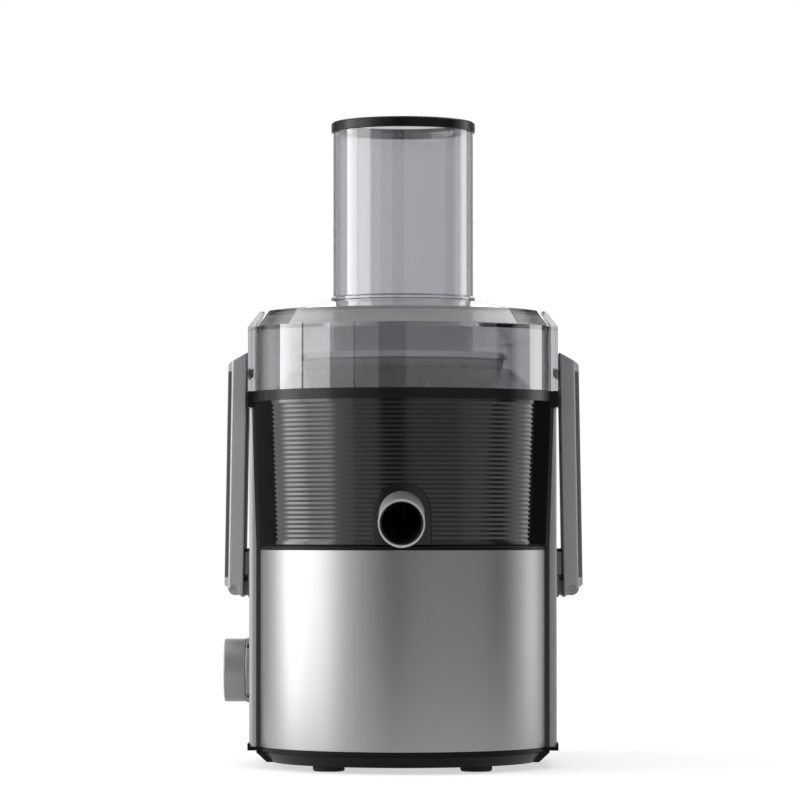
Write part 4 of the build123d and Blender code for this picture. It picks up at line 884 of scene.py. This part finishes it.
def softbox(name, level, width, height, azimuth, lift, distance):
    """A rectangular lamp round the spindle, as bright as level times white paper."""
    lamp = bpy.data.lights.new(name, "AREA")
    lamp.shape = "RECTANGLE"
    lamp.size = width
    lamp.size_y = height
    lamp.energy = level * math.pi * width * height
    piece = bpy.data.objects.new(name, lamp)
    bpy.context.scene.collection.objects.link(piece)
    turn = math.radians(azimuth)
    aim = Vector((SPINDLE.x, SPINDLE.y, AIM_HEIGHT))
    piece.location = aim + Vector((math.sin(turn) * distance, -math.cos(turn) * distance, lift))
    piece.rotation_euler = (aim - piece.location).to_track_quat("-Z", "Y").to_euler()
    piece.visible_camera = False
    piece.visible_transmission = False


def worktop():
    """A round pale floor that fades out into the backdrop, and keeps the juicer's shadow."""
    shape = bmesh.new()
    bmesh.ops.create_circle(shape, cap_ends=True, segments=96, radius=WORKTOP_RADIUS)
    mesh = bpy.data.meshes.new("worktop")
    shape.to_mesh(mesh)
    shape.free()
    floor = bpy.data.objects.new("worktop", mesh)
    floor.location = (SPINDLE.x, SPINDLE.y, 0)
    bpy.context.scene.collection.objects.link(floor)
    material = bpy.data.materials.new("pale_worktop")
    material.use_nodes = True
    board = Board(material.node_tree)
    reach = board.vector("LENGTH", board.node("ShaderNodeTexCoord")["Object"])
    fade = board.curve(reach / WORKTOP_RADIUS, (0.2, 0.0), (0.85, 1.0))
    paths = board.node("ShaderNodeLightPath")
    seen = board.most(paths["Is Camera Ray"], paths["Is Transmission Ray"],
                      paths["Is Glossy Ray"])
    matt = board.node("ShaderNodeBsdfDiffuse", {}, {"Color": (0.9, 0.9, 0.9, 1.0)})["BSDF"]
    glow = board.node("ShaderNodeEmission", {}, {"Color": WHITE, "Strength": 1.0})["Emission"]
    clear = board.node("ShaderNodeBsdfTransparent")["BSDF"]
    whole = board.blend(fade, board.blend(seen * WORKTOP_GLOW, matt, glow), clear)
    board.node("ShaderNodeOutputMaterial", {}, {"Surface": whole})
    mesh.materials.append(material)


def backdrop(level, mirrored):
    """White all round where it is seen straight or through clear plastic.

    level is the room's light on matt surfaces, and mirrored is the room in front in what shines.
    What shines also sees white behind the juicer, between two dark cards, as glass is lit.
    """
    world = bpy.data.worlds.new("studio")
    world.use_nodes = True
    bpy.context.scene.world = world
    board = Board(world.node_tree)
    paths = board.node("ShaderNodeLightPath")
    towards = board.parts(board.node("ShaderNodeTexCoord")["Generated"])[1]
    behind = board.curve(towards * 0.5 + 0.5, (0.5, 0.0), (0.58, 1.0), (0.76, 1.0),
                         (0.85, 0.12), (0.975, 0.12), (0.995, 1.0))
    seen = board.most(paths["Is Camera Ray"], paths["Is Transmission Ray"],
                      paths["Is Glossy Ray"] * behind)
    even, dim, white = (
        board.node("ShaderNodeBackground", {}, {"Color": WHITE, "Strength": strength})["Background"]
        for strength in (level, mirrored, 1.0))
    whole = board.blend(seen, board.blend(paths["Is Glossy Ray"], even, dim), white)
    board.node("ShaderNodeOutputWorld", {}, {"Surface": whole})


class JUICER_OT_stage(bpy.types.Operator):
    """Set the camera, the softboxes, the pale floor and the white backdrop"""

    bl_idname = "juicer.stage"
    bl_label = "Studio"
    bl_options = {"REGISTER", "UNDO"}

    def execute(self, context):
        stage = context.scene.juicer_stage
        context.scene.view_settings.view_transform = "Standard"
        lens = bpy.data.cameras.new("studio_camera")
        lens.lens = stage.lens
        lens.clip_end = 100.0
        camera = bpy.data.objects.new("studio_camera", lens)
        context.scene.collection.objects.link(camera)
        camera.location = (SPINDLE.x + stage.distance * math.sin(stage.turn),
                           SPINDLE.y - stage.distance * math.cos(stage.turn), stage.eye_height)
        camera.rotation_euler = (math.pi / 2 + stage.tilt, 0, stage.turn + stage.pan)
        context.scene.camera = camera
        for name, level, *setting in SOFTBOXES:
            softbox(name, level * stage.power, *setting)
        worktop()
        backdrop(stage.room, stage.mirrored_room)
        return {"FINISHED"}


# ---------------------------------------------------------------- the add-on

class JUICER_PT_looks(bpy.types.Panel):
    """Lists the juicer's operators and settings"""

    bl_label = "Juicer"
    bl_idname = "JUICER_PT_looks"
    bl_space_type = "VIEW_3D"
    bl_region_type = "UI"
    bl_category = "Juicer"

    def draw(self, context):
        layout = self.layout
        for operator in OPERATORS:
            layout.operator(operator.bl_idname)
        for settings in GROUPS:
            group = getattr(context.scene, settings)
            for name in group.__annotations__:
                layout.prop(group, name)


GROUPS = {"juicer_colours": JuicerColours, "juicer_marks": JuicerMarks,
          "juicer_stage": JuicerStage}
OPERATORS = (JUICER_OT_base, JUICER_OT_motor, JUICER_OT_spinner, JUICER_OT_bowl,
             JUICER_OT_cover, JUICER_OT_clamps, JUICER_OT_dial, JUICER_OT_controls,
             JUICER_OT_tub, JUICER_OT_marks, JUICER_OT_stage)
CLASSES = (*GROUPS.values(), *OPERATORS, JUICER_PT_looks)


def register():
    for made in CLASSES:
        bpy.utils.register_class(made)
    for name, group in GROUPS.items():
        setattr(bpy.types.Scene, name, bpy.props.PointerProperty(type=group))


def unregister():
    for name in GROUPS:
        delattr(bpy.types.Scene, name)
    for made in reversed(CLASSES):
        bpy.utils.unregister_class(made)


def main():
    """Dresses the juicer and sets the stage."""
    register()
    for operator in OPERATORS:
        family, name = operator.bl_idname.split(".")
        getattr(getattr(bpy.ops, family), name)()


if __name__ == "__main__":
    main()
